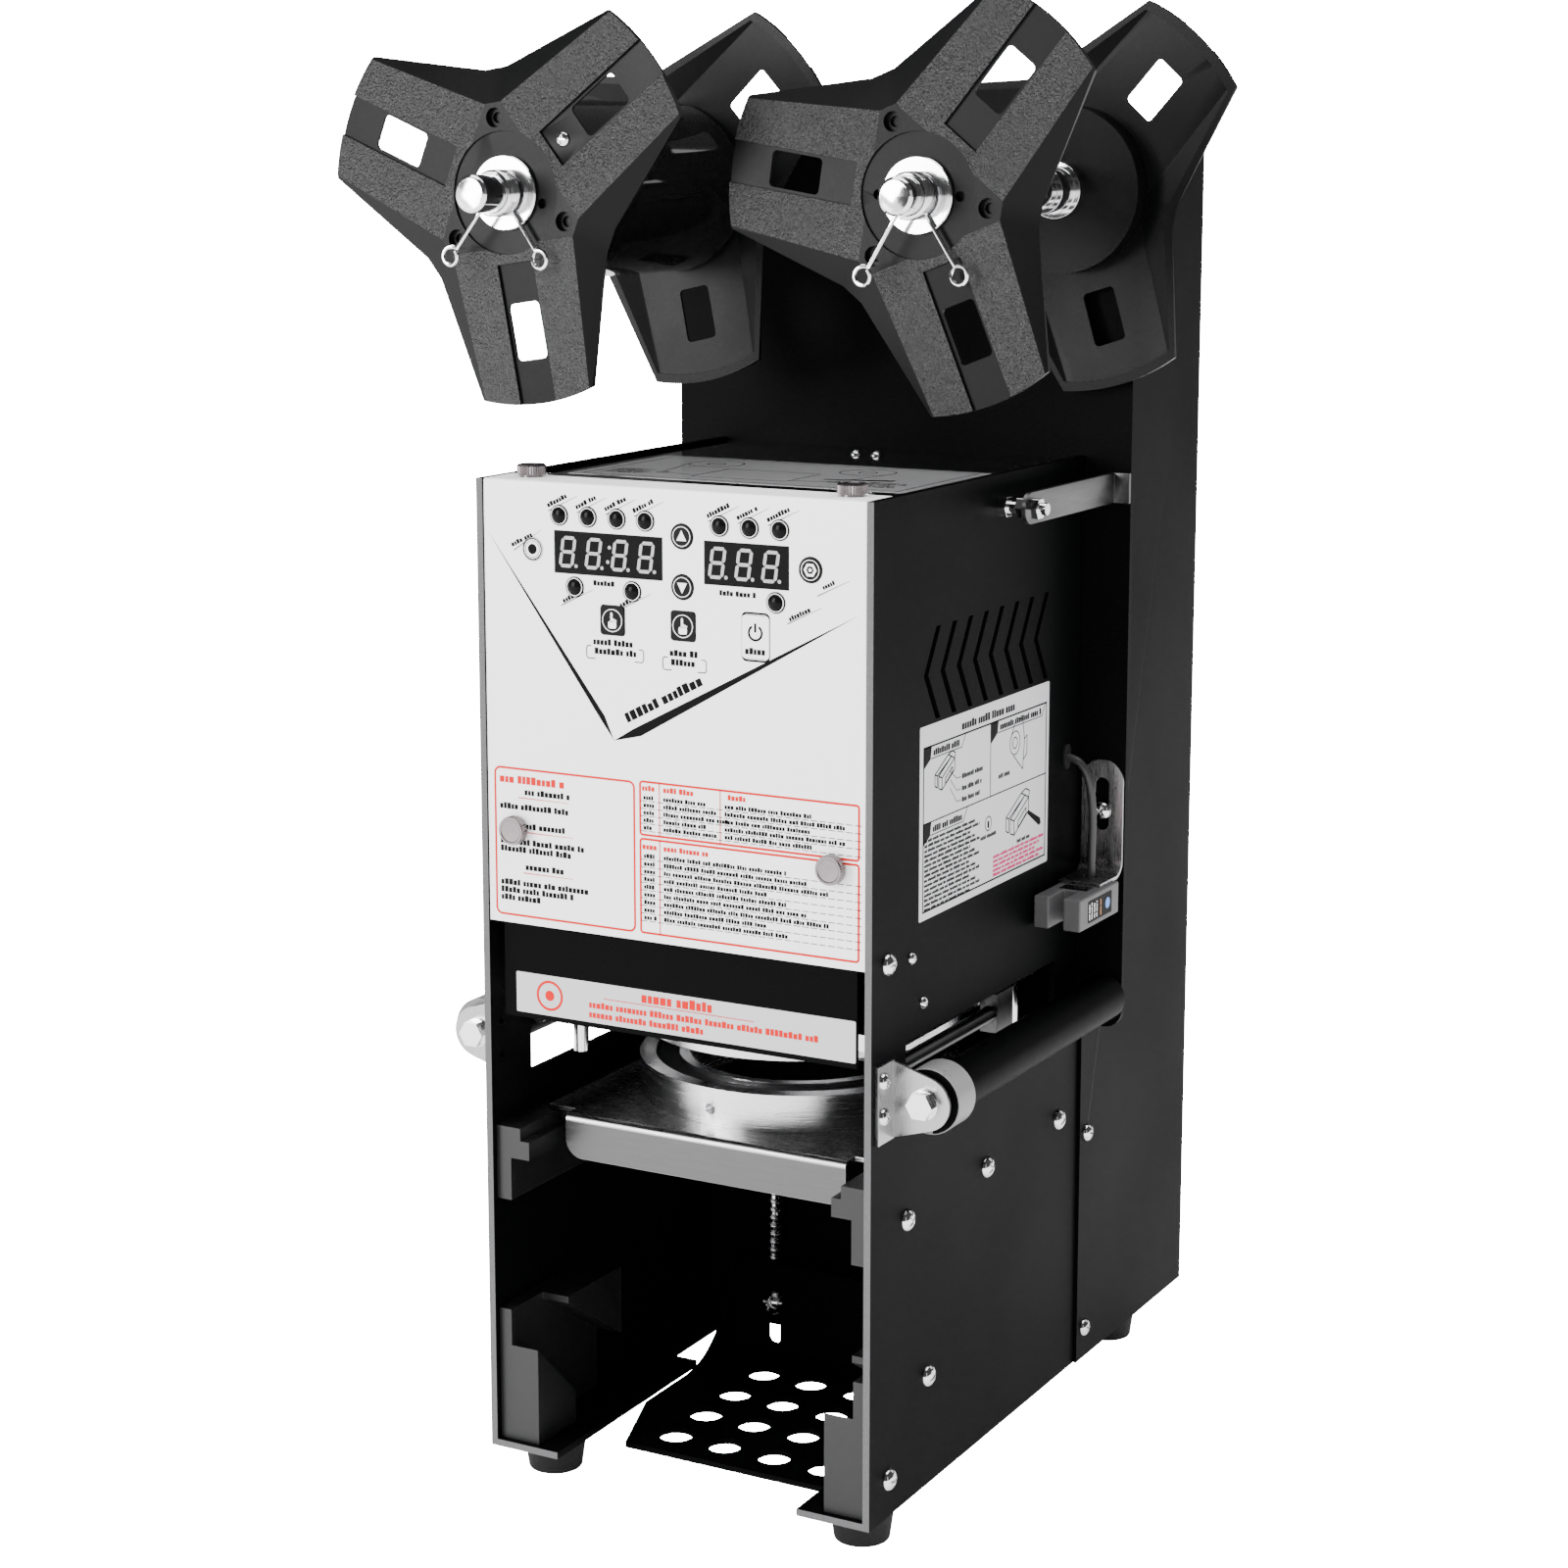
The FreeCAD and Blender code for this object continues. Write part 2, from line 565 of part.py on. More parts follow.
crank = fuse(rod_y(crank_disc_r, crank_back - 6, crank_back, 0, crank_z),
             rod_y(pin_r, yoke_front - 1.5, crank_back - 6, pin_rest_x, pin_rest_z),
             rod_y(crank_axle_r, crank_back, motor_front + 20, 0, crank_z))
nodes["head_crank"] = crank
motor_joint = motor_front + gear_stage
motor = fuse(rod_y(gear_stage_r, motor_front - 1, motor_joint, 0, crank_z),
             rod_y(motor_r, motor_joint, motor_joint + motor_length, 0, crank_z))
nodes["head_motor"] = motor.cut(rod_y(crank_axle_r + play, motor_front - 2, motor_front + 21, 0, crank_z))
switch_length, switch_width, switch_height = 20.0, 6.4, 10.0
switch_places = [(-60, 34), (48, 150), (-60, 150)]
nodes["micro_switches"] = group(
    box(x, x + switch_length, y, y + switch_width, deck_high, deck_high + switch_height)
    for x, y in switch_places)

# ---------------------------------------------------------------- film rollers
bracket_y = 16.0
ring_front = bracket_y + 4
ring_back = ring_front + 15
tube_back = body_depth - 4
axle_r = 3.0
axle_nut = 10.0           # over its flats
tip_r = 11.0
bracket_low, bracket_high = roller_z - 16, roller_z + 16


def roller_bracket():
    centre = (roller_x, roller_z)
    upper = tangent_point((half, bracket_high), centre, tip_r, -1)
    lower = tangent_point((half, bracket_low), centre, tip_r, 1)
    wing = prism_y([(half, bracket_low), lower, upper, (half, bracket_high)], bracket_y, bracket_y + sheet)
    tip = rod_y(tip_r, bracket_y, bracket_y + sheet, roller_x, roller_z)
    flange = box(half, half + sheet, 3.6, bracket_y + sheet, bracket_low, bracket_high)
    return fuse(wing, tip, flange).cut(rod_y(axle_r, 0, 30, roller_x, roller_z))


def roller_axle():
    head = hexagon(axle_nut, NORTH, (bracket_y - 5.0, bracket_y - 1.0), roller_x, roller_z)
    washer = rod_y(6.2, bracket_y - 1.0, bracket_y, roller_x, roller_z)
    nut = hexagon(axle_nut, NORTH, (bracket_y + sheet, bracket_y + sheet + 2.2), roller_x, roller_z)
    return fuse(rod_y(axle_r, bracket_y - 4, body_depth, roller_x, roller_z), head, washer, nut)


bore = rod_y(axle_r + play, 0, body_depth, roller_x, roller_z)
roller = rod_y(roller_r, ring_back, tube_back, roller_x, roller_z).cut(bore)
roller_ring = rod_y(roller_ring_r, ring_front, ring_back, roller_x, roller_z).cut(bore)
nodes["right_roller"] = group([roller, roller_ring])
nodes["left_roller"] = mirrored(nodes["right_roller"])

# Film guide rods inside the windows, each ending in a nut on a small steel bracket.
guide_x = inner - 3.8
guide_z = roller_z + 7.0
guide_end = 122.0
film_rod = fuse(rod_y(3.4, window_front, guide_end + 4, guide_x, guide_z),
                hexagon(5.6, NORTH, (guide_end + 4, guide_end + 7), guide_x, guide_z))
film_bracket = fuse(box(inner - 8, inner, guide_end, guide_end + sheet, guide_z - 8, guide_z + 9),
                    box(inner - sheet, inner, guide_end, guide_end + 16, guide_z - 8, guide_z + 9))
nodes["film_guide_rods"] = group(both_sides(fuse(film_rod, film_bracket)))

# ---------------------------------------------------------------- strap brackets
# Steel straps that tie the side panels to the wings of the back plate, on a bolt with nuts.
strap_x = half + 13.5
strap_y = 112.0
strap_z = body_height - 13.0
strap_high = 13.0
strap_nut = 8.0           # over its flats


def strap():
    low, high = strap_z - strap_high / 2, strap_z + strap_high / 2
    bar = box(strap_x - 1, strap_x + 1, strap_y, body_depth, low, high)
    nose = rod_x(strap_high / 2, strap_x - 1, strap_x + 1, strap_y, strap_z)
    foot = box(strap_x + 1, wing_half, body_depth - 2, body_depth, low, high)
    return fuse(bar, nose, foot)


strap_bolt = fuse(rod_x(2.5, inner, strap_x + 8, strap_y, strap_z),
                  hexagon(strap_nut, EAST, (half, half + 4.5), strap_y, strap_z),
                  hexagon(strap_nut, EAST, (strap_x - 5, strap_x - 1), strap_y, strap_z),
                  hexagon(strap_nut, EAST, (strap_x + 1, strap_x + 5), strap_y, strap_z))
nodes["strap_brackets"] = group(both_sides(strap().cut(strap_bolt)) + both_sides(strap_bolt))

# ---------------------------------------------------------------- film mark sensor
# A fork sensor on a folded bracket on the back plate's right wing, with its lead.
sensor_left = half + 1.5
sensor_right = half + 23.0
sensor_low, sensor_high = 230.0, 244.0
sensor_front, sensor_rear = 148.0, 190.0
fork_left, fork_right = sensor_left + 7.0, sensor_left + 13.5
fork_depth = 16.0
sensor = box(sensor_left, sensor_right, sensor_front, sensor_rear, sensor_low, sensor_high)
nodes["sensor_body"] = sensor.cut(
    box(fork_left, fork_right, sensor_front - 1, sensor_front + fork_depth, sensor_low - 1, sensor_high + 1))

sheet_x0, sheet_x1 = half + 1.5, wing_half - 0.4
fold_r = 8.0
bracket_top = 295.0
upright = box(sheet_x0, sheet_x1, body_depth - sheet, body_depth, sensor_high, bracket_top)
upright = round_edges(upright, NORTH, 9.0, lambda p: p.z > bracket_top - 0.1)
shelf = box(sheet_x0, sheet_x1, sensor_front + 26, body_depth, sensor_high, sensor_high + sheet)
sensor_bracket = fuse(upright, shelf)
sensor_bracket = round_edges(sensor_bracket, EAST, fold_r,
                             lambda p: p.z < sensor_high + 0.1 and p.y > body_depth - 0.1)
sensor_bracket = round_edges(sensor_bracket, EAST, fold_r - sheet,
                             lambda p: abs(p.z - sensor_high - sheet) < 0.1
                             and abs(p.y - body_depth + sheet) < 0.1)
slot_x = (sheet_x0 + sheet_x1) / 2
slot_low, slot_high = 267.0, 284.0
bracket_slot = fuse(box(slot_x - 3.2, slot_x + 3.2, body_depth - 3, body_depth + 1, slot_low, slot_high),
                    rod_y(3.2, body_depth - 3, body_depth + 1, slot_x, slot_low),
                    rod_y(3.2, body_depth - 3, body_depth + 1, slot_x, slot_high))

# The lead comes out of the panel's grommet, turns down and enters the sensor's top. The points
# are its route, and every corner is rounded with an arc as large as its two runs allow.
lead_r = 1.8
lead_points = [(half - 0.5, 183.5, 298.0), (half + 4.0, 183.5, 297.4), (half + 7.8, 183.8, 294.6),
               (half + 10.2, 184.4, 289.6), (half + 11.6, 185.2, 281.5), (half + 12.0, 185.9, 270.5),
               (half + 11.7, 186.0, 257.5), (half + 11.5, 186.0, sensor_high)]


def lead_path(points):
    """Straight runs joined by tangent arcs; also returns the arcs' radii."""
    corners = [Vec(*point) for point in points]
    edges, radii = [], []
    start = corners[0]
    for before, here, after in zip(corners, corners[1:], corners[2:]):
        back, ahead = before.sub(here), after.sub(here)
        turn = math.pi - back.getAngle(ahead)
        cut = 0.45 * min(back.Length, ahead.Length)
        radius = cut / math.tan(turn / 2)
        back.normalize()
        ahead.normalize()
        first, last = here.add(back * cut), here.add(ahead * cut)
        middle = back.add(ahead)
        middle.normalize()
        centre = here.add(middle * (radius / math.cos(turn / 2)))
        edges.append(Part.LineSegment(start, first).toShape())
        edges.append(Part.Arc(first, centre.sub(middle * radius), last).toShape())
        radii.append(round(radius, 1))
        start = last
    edges.append(Part.LineSegment(start, corners[-1]).toShape())
    return Part.Wire(edges), radii


lead_line, lead_radii = lead_path(lead_points)
lead_start = Vec(*lead_points[0])
lead_direction = Vec(*lead_points[1]).sub(lead_start)
lead_profile = Part.Wire(Part.makeCircle(lead_r, lead_start, lead_direction))
sensor_lead = lead_line.makePipeShell([lead_profile], True, True)
print("lead: radii", lead_radii, "length", round(lead_line.Length, 1),
      "volume ratio", round(sensor_lead.Volume / (math.pi * lead_r ** 2 * lead_line.Length), 3))
nodes["sensor_cable"] = sensor_lead
lead_gate = rod_z(lead_r + 1.2, sensor_high - 1, sensor_high + sheet + 1, *lead_points[-1][:2])
grommet = oval_x(cable_hole_y, cable_hole_z, *cable_oval, inner - 1, half + 1)
nodes["cable_grommet"] = grommet.cut(rod_x(lead_r + play, half - 0.5, half + 2, *cable_hole))

# ---------------------------------------------------------------- film spools
# Both spools turn in bushings in the back plate. Each flange is a dished three-armed moulding.
flange_rim = 2.5          # thickness at the arms' tips
flange_depth = 6.0        # thickness at the middle
tip_half_angle = 16.0
valley_half_angle = 6.0
star_valley_r = 36.0
rim_valley_r = 50.0
hub_r = 24.5
boss_r = 35.0
arm_screw_r = 30.0
channel_half = 8.5
channel_start = 28.0
slot_start, slot_end = 44.0, 67.0
slot_half = 7.2


def polar(r, angle, y):
    return Vec(r * math.cos(math.radians(angle)), y, r * math.sin(math.radians(angle)))


def star_solid(reach, valley_front, valley_back, depth, rim):
    """The three-armed dish: flat behind at Y 0, raised towards -Y, cut round at its tips."""
    faces = []
    over = reach * 1.06
    for k in range(3):
        arm = 120.0 * k
        left, right = arm + tip_half_angle, arm - tip_half_angle
        a1, a2 = arm + 60 - valley_half_angle, arm + 60 + valley_half_angle
        b2 = arm - 60 + valley_half_angle
        next_right = arm + 120 - tip_half_angle
        front_tip = [polar(over, right, -rim), polar(over, left, -rim)]
        back_tip = [polar(over, right, 0), polar(over, left, 0)]
        front = [polar(valley_front, a1, -depth), polar(valley_front, a2, -depth)]
        back = [polar(valley_back, a1, 0), polar(valley_back, a2, 0)]
        near = polar(valley_front, b2, -depth)
        next_tip = [polar(over, next_right, -rim), polar(over, next_right, 0)]
        faces.append([near, front_tip[0], front_tip[1], front[0]])
        faces.append([front_tip[0], back_tip[0], back_tip[1], front_tip[1]])
        faces.append([front[0], front[1], back[1], back[0]])
        faces.append([front_tip[1], back_tip[1], back[0]])
        faces.append([front_tip[1], back[0], front[0]])
        faces.append([front[1], back[1], next_tip[0]])
        faces.append([back[1], next_tip[1], next_tip[0]])
    middle = []
    behind = []
    for k in range(3):
        arm = 120.0 * k
        middle += [polar(valley_front, arm + 60 - valley_half_angle, -depth),
                   polar(valley_front, arm + 60 + valley_half_angle, -depth)]
        behind += [polar(over, arm - tip_half_angle, 0), polar(over, arm + tip_half_angle, 0),
                   polar(valley_back, arm + 60 - valley_half_angle, 0),
                   polar(valley_back, arm + 60 + valley_half_angle, 0)]
    faces += [middle, behind]
    shell = Part.makeShell([Part.Face(wire_through(corners)) for corners in faces])
    solid = Part.makeSolid(shell)
    if solid.Volume < 0:
        solid.reverse()
    return solid.common(rod_y(reach, -depth - 1, 1, 0, 0))


def turned(shape, angle):
    """Turned in the XZ plane, from +X towards +Z."""
    return shape.rotated(Vec(0, 0, 0), NORTH, -angle)


def star_flange():
    """One flange about the Y axis, its outer face towards -Y and its flat rim at Y 0."""
    star = star_solid(spool_r, star_valley_r, rim_valley_r, flange_depth, flange_rim)
    hollow = star_solid(spool_r - 4, star_valley_r - 3, rim_valley_r - 4, flange_depth - 2.6, 0.3)
    star = star.cut(hollow.cut(rod_y(boss_r, -9, 9, 0, 0)))
    slope = math.atan((flange_depth - flange_rim) / (spool_r - star_valley_r * math.cos(math.radians(54))))
    cuts = [rod_y(hub_r, -flange_depth - 1, -flange_depth + 1.0, 0, 0)]
    for k in range(3):
        channel = box(channel_start, spool_r + 5, -flange_depth - 6, -flange_depth + 1.6,
                      -channel_half, channel_half)
        channel = channel.rotated(Vec(channel_start, -flange_depth, 0), UP, math.degrees(slope))
        slot = box(slot_start, slot_end, -flange_depth - 1, 1, -slot_half, slot_half)
        slot = round_edges(slot, NORTH, 2.0, lambda p: True)
        cuts += [turned(channel, 120 * k), turned(slot, 120 * k)]
        place = polar(arm_screw_r, 120 * k + 60, 0)
        cuts.append(rod_y(2.2, -flange_depth - 1, 1, place.x, place.z))
        cuts.append(rod_y(3.9, -flange_depth - 1, -flange_depth + 2.5, place.x, place.z))
    for angle in (128, -52):
        place = polar(17.5, angle, 0)
        cuts.append(rod_y(2.0, -flange_depth - 1, 1, place.x, place.z))
    return star.cut(cuts)


flange = star_flange()
flange_turned_back = flange.mirror(Vec(0, 0, 0), NORTH)


def placed(shape, x, y, angle):
    moved = turned(shape, angle)
    moved.translate(Vec(x, y, spool_z))
    return moved


stub_r = 4.0
bushing_body_r = 6.0
bushing_back = spine_back + 5


def spool(x, face, shaft_front, rear_rim, front_angle, rear_angle):
    """The pieces of one spool: shaft, front flange, rear flange, and washer with spring clip."""
    front_rim = face + flange_depth
    shaft = fuse(rod_y(shaft_r, shaft_front, body_depth - 2.6, x, spool_z),
                 rod_y(stub_r, body_depth - 2.6, bushing_back + 14, x, spool_z))
    shaft = shaft.makeChamfer(1.2, [edge for edge in shaft.Edges
                                    if abs(edge.CenterOfMass.y - shaft_front) < 0.1])
    bore = rod_y(shaft_r, 0, body_depth, x, spool_z)
    boss = rod_y(boss_r, front_rim - 2, front_rim + 8, x, spool_z)
    front = fuse(placed(flange, x, front_rim, front_angle), boss).cut(bore)
    rear_boss = rod_y(boss_r, rear_rim - 8, rear_rim + 2, x, spool_z)
    rear = fuse(placed(flange_turned_back, x, rear_rim, rear_angle), rear_boss).cut(bore)
    return shaft, front, rear


def spring_clip(x, face, reach, angles):
    """Chrome washer and a torsion clip whose coil grips the shaft."""
    wire = 0.9
    loop_r = 3.6
    washer_front = face - 1.2
    coil_front = washer_front - 9.0
    washer = rod_y(15.0, washer_front, face + 0.8, x, spool_z)
    clip = rod_y(shaft_r + 2 * wire, coil_front, washer_front, x, spool_z)
    for angle, y in zip(angles, (coil_front + 2 * wire, washer_front - 2 * wire)):
        inner_end = polar(shaft_r + wire, angle, y)
        outer_end = polar(reach + wire / 2, angle, y)
        run = outer_end.sub(inner_end)
        arm = Part.makeCylinder(wire, run.Length, inner_end, run)
        loop = Part.makeTorus(loop_r, wire + 0.05, polar(reach + loop_r, angle, y), NORTH)
        piece = fuse(arm, loop)
        piece.translate(Vec(x, 0, spool_z))
        clip = fuse(clip, piece)
    bore = rod_y(shaft_r, -50, 200, x, spool_z)
    return group([washer.cut(bore), clip.cut(bore)])


takeup_front_y = takeup_face + flange_depth
takeup_rear_y = body_depth - 54.0
supply_rear_y = body_depth - 9.0
shaft, front, rear = spool(-spool_x, takeup_face, takeup_face - 25, takeup_rear_y,
                           takeup_angle, takeup_rear_angle)
nodes["takeup_shaft"], nodes["takeup_front_flange"], nodes["takeup_rear_flange"] = shaft, front, rear
nodes["takeup_spring_clip"] = spring_clip(-spool_x, takeup_face, 28.0, (-128, -55))

# The take-up core is a tube with a round strip let into it, which clips the film's end.
strip_r = 4.5
strip_place = polar(core_r - 3.0, 82, 0)
strip_x, strip_z = strip_place.x - spool_x, strip_place.z + spool_z
core = rod_y(core_r, takeup_front_y, takeup_rear_y, -spool_x, spool_z)
core = core.cut([rod_y(core_r - 3, 0, body_depth, -spool_x, spool_z).cut(
    rod_y(strip_r + 2, -1, body_depth + 1, strip_x, strip_z)), front, rear])
core = core.Solids[0] if len(core.Solids) == 1 else max(core.Solids, key=lambda solid: solid.Volume)
clip_bar = rod_y(strip_r, takeup_front_y + 8, takeup_rear_y - 8, strip_x, strip_z)
nodes["takeup_core"] = group([core.cut(rod_y(strip_r, 0, body_depth, strip_x, strip_z)), clip_bar])

shaft, front, rear = spool(spool_x, supply_face, supply_face - 20, supply_rear_y,
                           supply_angle, supply_rear_angle)
nodes["supply_front_flange"], nodes["supply_rear_flange"] = front, rear
nodes["supply_spring_clip"] = spring_clip(spool_x, supply_face, 32.0, (-121, -57))
collar_back = supply_rear_y - 8
collar = fuse(rod_y(12.0, collar_back - 7, collar_back, spool_x, spool_z),
              rod_y(9.8, collar_back - 20, collar_back - 7, spool_x, spool_z))
nodes["supply_shaft"] = group([shaft, collar.cut(rod_y(shaft_r, 0, body_depth, spool_x, spool_z))])

for x in (-spool_x, spool_x):
    bush = fuse(rod_y(bushing_body_r, body_depth - 2, bushing_back, x, spool_z),
                rod_y(bushing_body_r + 5, body_depth - 2, body_depth, x, spool_z))
    bushings.append(bush.cut(rod_y(stub_r + play, 0, 300, x, spool_z)))
nodes["bronze_bushings"] = group(bushings)

# ---------------------------------------------------------------- inside the column
# The take-up spool's gear motor on the shaft's end, and the power supply low down.
gear_low, gear_high = spool_z - 20, column_top - sheet
gear_right = -spool_x + 36
gear_back = bushing_back + 20
winder_r, winder_length = 16.0, 48.0
gearbox = fuse(box(-column_half + sheet, gear_right, bushing_back, gear_back, gear_low, gear_high),
               rod_y(winder_r, gear_back, gear_back + winder_length, -spool_x + 17, spool_z - 3))
nodes["takeup_motor"] = gearbox.cut(rod_y(stub_r + play, 0, bushing_back + 16, -spool_x, spool_z))
supply_half, supply_depth = 50.0, 42.0
supply_low, supply_high = 120.0, 280.0
nodes["power_supply"] = box(-supply_half, supply_half, spine_back, spine_back + supply_depth,
                            supply_low, supply_high)

# ---------------------------------------------------------------- screws
# Domed screws through the panels, the column, the top cover and the sensor bracket.
big_places = [(14, 244.8), (32, 135.3), (107, 135.3), (181, 135.3), (52, 62.5), (17, 31)]
small_places = [(34.6, 242.5), (45, 222)]
column_places = [(spine_back + 8, 121.4), (spine_back + 8, 29.4)]
screws = []
for side in (-1, 1):
    out = EAST * side
    screws += [domed_screw(Vec(side * half, y, z), out, 4.7, 3.0, 2.0, 5) for y, z in big_places]
    screws += [domed_screw(Vec(side * half, y, z), out, 2.6, 1.8, 1.2, 3) for y, z in small_places]
    screws += [domed_screw(Vec(side * column_half, y, z), out, 4.0, 2.6, 1.2, 1.4) for y, z in column_places]
    screws += [domed_screw(Vec(side * (half + sheet), 8, roller_z + dz), out, 3.6, 2.4, 1.6, sheet + 3)
               for dz in (9.4, -5.0)]
    screws.append(domed_screw(Vec(side * thumb_x, 28, cover_top), UP, 3.4, 1.6, 1.5, sheet))
    screws.append(domed_screw(Vec(side * 5, 168, cover_top), UP, 2.6, 2.0, 1.2, sheet))
screws.append(domed_screw(Vec(slot_x, body_depth - sheet, 272.5), NORTH * -1, 4.2, 2.8, 2.4, sheet + plate))
nodes["case_screws"] = group(screws + bolts)

nodes["right_side_panel"] = drilled(right_panel, screws + [grommet, strap_bolt])
nodes["left_side_panel"] = drilled(left_panel, screws + [mirrored(strap_bolt)])
nodes["top_cover"] = drilled(top_cover, screws)
nodes["tray_rails"] = group(drilled(shape, screws) for shape in both_sides(rail))
nodes["lower_guides"] = group(drilled(shape, screws) for shape in both_sides(lower_guide))
brackets = [drilled(shape, screws) for shape in both_sides(roller_bracket())]
nodes["roller_brackets"] = group(brackets + both_sides(roller_axle()))
nodes["sensor_bracket"] = drilled(sensor_bracket, screws + [bracket_slot, lead_gate])
stub_holes = [rod_y(stub_r + 1, body_depth - 1, spine_back + 1, x, spool_z) for x in (-spool_x, spool_x)]
nodes["back_plate"] = drilled(back_plate, screws + bushings + stub_holes)
nodes["column_cover"] = group([drilled(column_cover, screws + [nodes["power_inlet"]]), column_base])

# ---------------------------------------------------------------- move to the middle and write
whole = group(nodes.values()).BoundBox
offset = Vec(-(whole.XMin + whole.XMax) / 2, -(whole.YMin + whole.YMax) / 2, 0)
os.makedirs("parts", exist_ok=True)
for name, shape in nodes.items():
    shape.translate(offset)
    shape.exportStep("parts/" + name + ".step")
print(len(nodes), "nodes, offset", round(offset.x, 3), round(offset.y, 3))
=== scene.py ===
import json
import math
import random
import bmesh
import bpy
from mathutils import Matrix, Vector

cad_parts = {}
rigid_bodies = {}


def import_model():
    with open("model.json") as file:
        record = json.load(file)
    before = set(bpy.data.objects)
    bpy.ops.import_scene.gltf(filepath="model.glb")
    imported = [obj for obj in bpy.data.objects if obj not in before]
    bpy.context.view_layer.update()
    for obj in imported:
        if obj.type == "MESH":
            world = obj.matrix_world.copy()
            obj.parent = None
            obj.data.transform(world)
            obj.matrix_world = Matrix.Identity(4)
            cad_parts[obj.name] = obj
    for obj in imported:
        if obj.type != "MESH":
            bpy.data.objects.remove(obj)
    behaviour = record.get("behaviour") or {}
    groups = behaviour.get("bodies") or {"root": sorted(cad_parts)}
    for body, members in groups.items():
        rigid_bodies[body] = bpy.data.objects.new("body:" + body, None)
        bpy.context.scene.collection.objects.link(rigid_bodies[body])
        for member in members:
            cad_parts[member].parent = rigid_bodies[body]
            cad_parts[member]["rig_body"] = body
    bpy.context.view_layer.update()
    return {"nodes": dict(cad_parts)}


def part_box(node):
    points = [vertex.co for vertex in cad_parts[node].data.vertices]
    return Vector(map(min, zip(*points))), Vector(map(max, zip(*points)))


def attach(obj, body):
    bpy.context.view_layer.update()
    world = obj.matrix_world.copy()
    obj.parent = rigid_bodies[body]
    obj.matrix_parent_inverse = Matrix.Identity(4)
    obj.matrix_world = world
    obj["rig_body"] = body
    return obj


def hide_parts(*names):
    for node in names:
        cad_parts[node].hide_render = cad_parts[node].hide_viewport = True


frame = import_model()

# ---- camera, light and floor
# The machine stands on a pale studio floor, seen from its right front corner and a little
# from above. Distances here are metres in the row frame.
panel_low, panel_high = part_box("right_side_panel")
far_low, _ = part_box("left_side_panel")
case_middle = (far_low.x + panel_high.x) / 2
case_front = panel_low.y
MM = 0.001


def at(x, y, z):
    """Millimetres from the middle of the case's front edge, on the floor, as a place in metres."""
    return Vector((case_middle + x * MM, case_front + y * MM, z * MM))


def placed(name, data):
    """A new object in the scene."""
    made = bpy.data.objects.new(name, data)
    bpy.context.scene.collection.objects.link(made)
    return made


camera_data = bpy.data.cameras.new("studio_camera")
camera_pitch, camera_turn = 9.9042, 28.7323
camera_data.lens = 72.691
camera_data.sensor_width = 36.0
camera_data.shift_y = -0.064
camera_data.clip_end = 50.0
camera = placed("studio_camera", camera_data)
camera.location = at(628.83, -1053.18, 564.41)
camera.rotation_euler = (math.radians(90.0 - camera_pitch), 0.0, math.radians(camera_turn))
bpy.context.scene.camera = camera


def node(tree, kind, links=(), **settings):
    """Adds a node, sets its attributes and input defaults, and links its inputs."""
    made = tree.nodes.new(kind)
    for key, value in settings.items():
        setattr(made, key, value)
    for target, source in links:
        if isinstance(source, bpy.types.NodeSocket):
            tree.links.new(source, made.inputs[target])
        else:
            made.inputs[target].default_value = source
    return made


def soft_box(name, place, aim, width, height, power):
    """A rectangular studio light that faces a point."""
    data = bpy.data.lights.new(name, "AREA")
    data.shape = "RECTANGLE"
    data.size, data.size_y, data.energy = width, height, power
    lamp = placed(name, data)
    lamp.location = place
    lamp.rotation_euler = (Vector(aim) - Vector(place)).to_track_quat("-Z", "Y").to_euler()


heart = at(0, 120, 300)
soft_box("front_left_box", (-1.3, -2.1, 1.0), heart, 0.9, 1.5, 78)
soft_box("front_right_box", (1.9, -1.2, 0.6), heart, 0.35, 1.7, 1.5)
soft_box("overhead_box", (0.0, 0.1, 2.5), heart, 2.4, 2.0, 60)
soft_box("rear_box", (1.2, 2.0, 1.3), heart, 1.0, 1.4, 5)

# The room lights dull surfaces fully, shows only faintly in glossy ones and is plain white behind.
room_glow, mirrored_glow, backdrop_glow, floor_glow = 2.4, 0.07, 40.0, 30.0
white = (1.0, 1.0, 1.0, 1.0)
world = bpy.data.worlds.new("studio_room")
world.use_nodes = True
room_light = world.node_tree.nodes["Background"]
room_light.inputs["Color"].default_value = white
ray = node(world.node_tree, "ShaderNodeLightPath")
reflected = node(world.node_tree, "ShaderNodeMapRange",
        [("Value", ray.outputs["Is Glossy Ray"]), ("To Min", room_glow), ("To Max", mirrored_glow)])
backdrop = node(world.node_tree, "ShaderNodeMapRange", [("Value", ray.outputs["Is Camera Ray"]),
        ("To Min", reflected.outputs[0]), ("To Max", backdrop_glow)])
world.node_tree.links.new(backdrop.outputs[0], room_light.inputs["Strength"])
world.cycles.sampling_method = "NONE"
bpy.context.scene.world = world

floor_half = 12.0
floor_mesh = bpy.data.meshes.new("studio_floor")
floor_mesh.from_pydata([(-floor_half, -floor_half, 0), (floor_half, -floor_half, 0),
        (floor_half, floor_half, 0), (-floor_half, floor_half, 0)], [], [(0, 1, 2, 3)])
floor = placed("studio_floor", floor_mesh)
floor_paint = bpy.data.materials.new("pale_floor")
floor_paint.use_nodes = True
floor_shader = floor_paint.node_tree.nodes["Principled BSDF"]
for socket, value in (("Base Color", (0.88, 0.88, 0.88, 1)), ("Roughness", 0.7),
        ("Specular IOR Level", 0.1), ("Emission Color", white)):
    floor_shader.inputs[socket].default_value = value
floor_ray = node(floor_paint.node_tree, "ShaderNodeLightPath")
floor_light = node(floor_paint.node_tree, "ShaderNodeMath",
        [(0, floor_ray.outputs["Is Camera Ray"]), (1, floor_glow)], operation="MULTIPLY")
floor_paint.node_tree.links.new(floor_light.outputs[0], floor_shader.inputs["Emission Strength"])
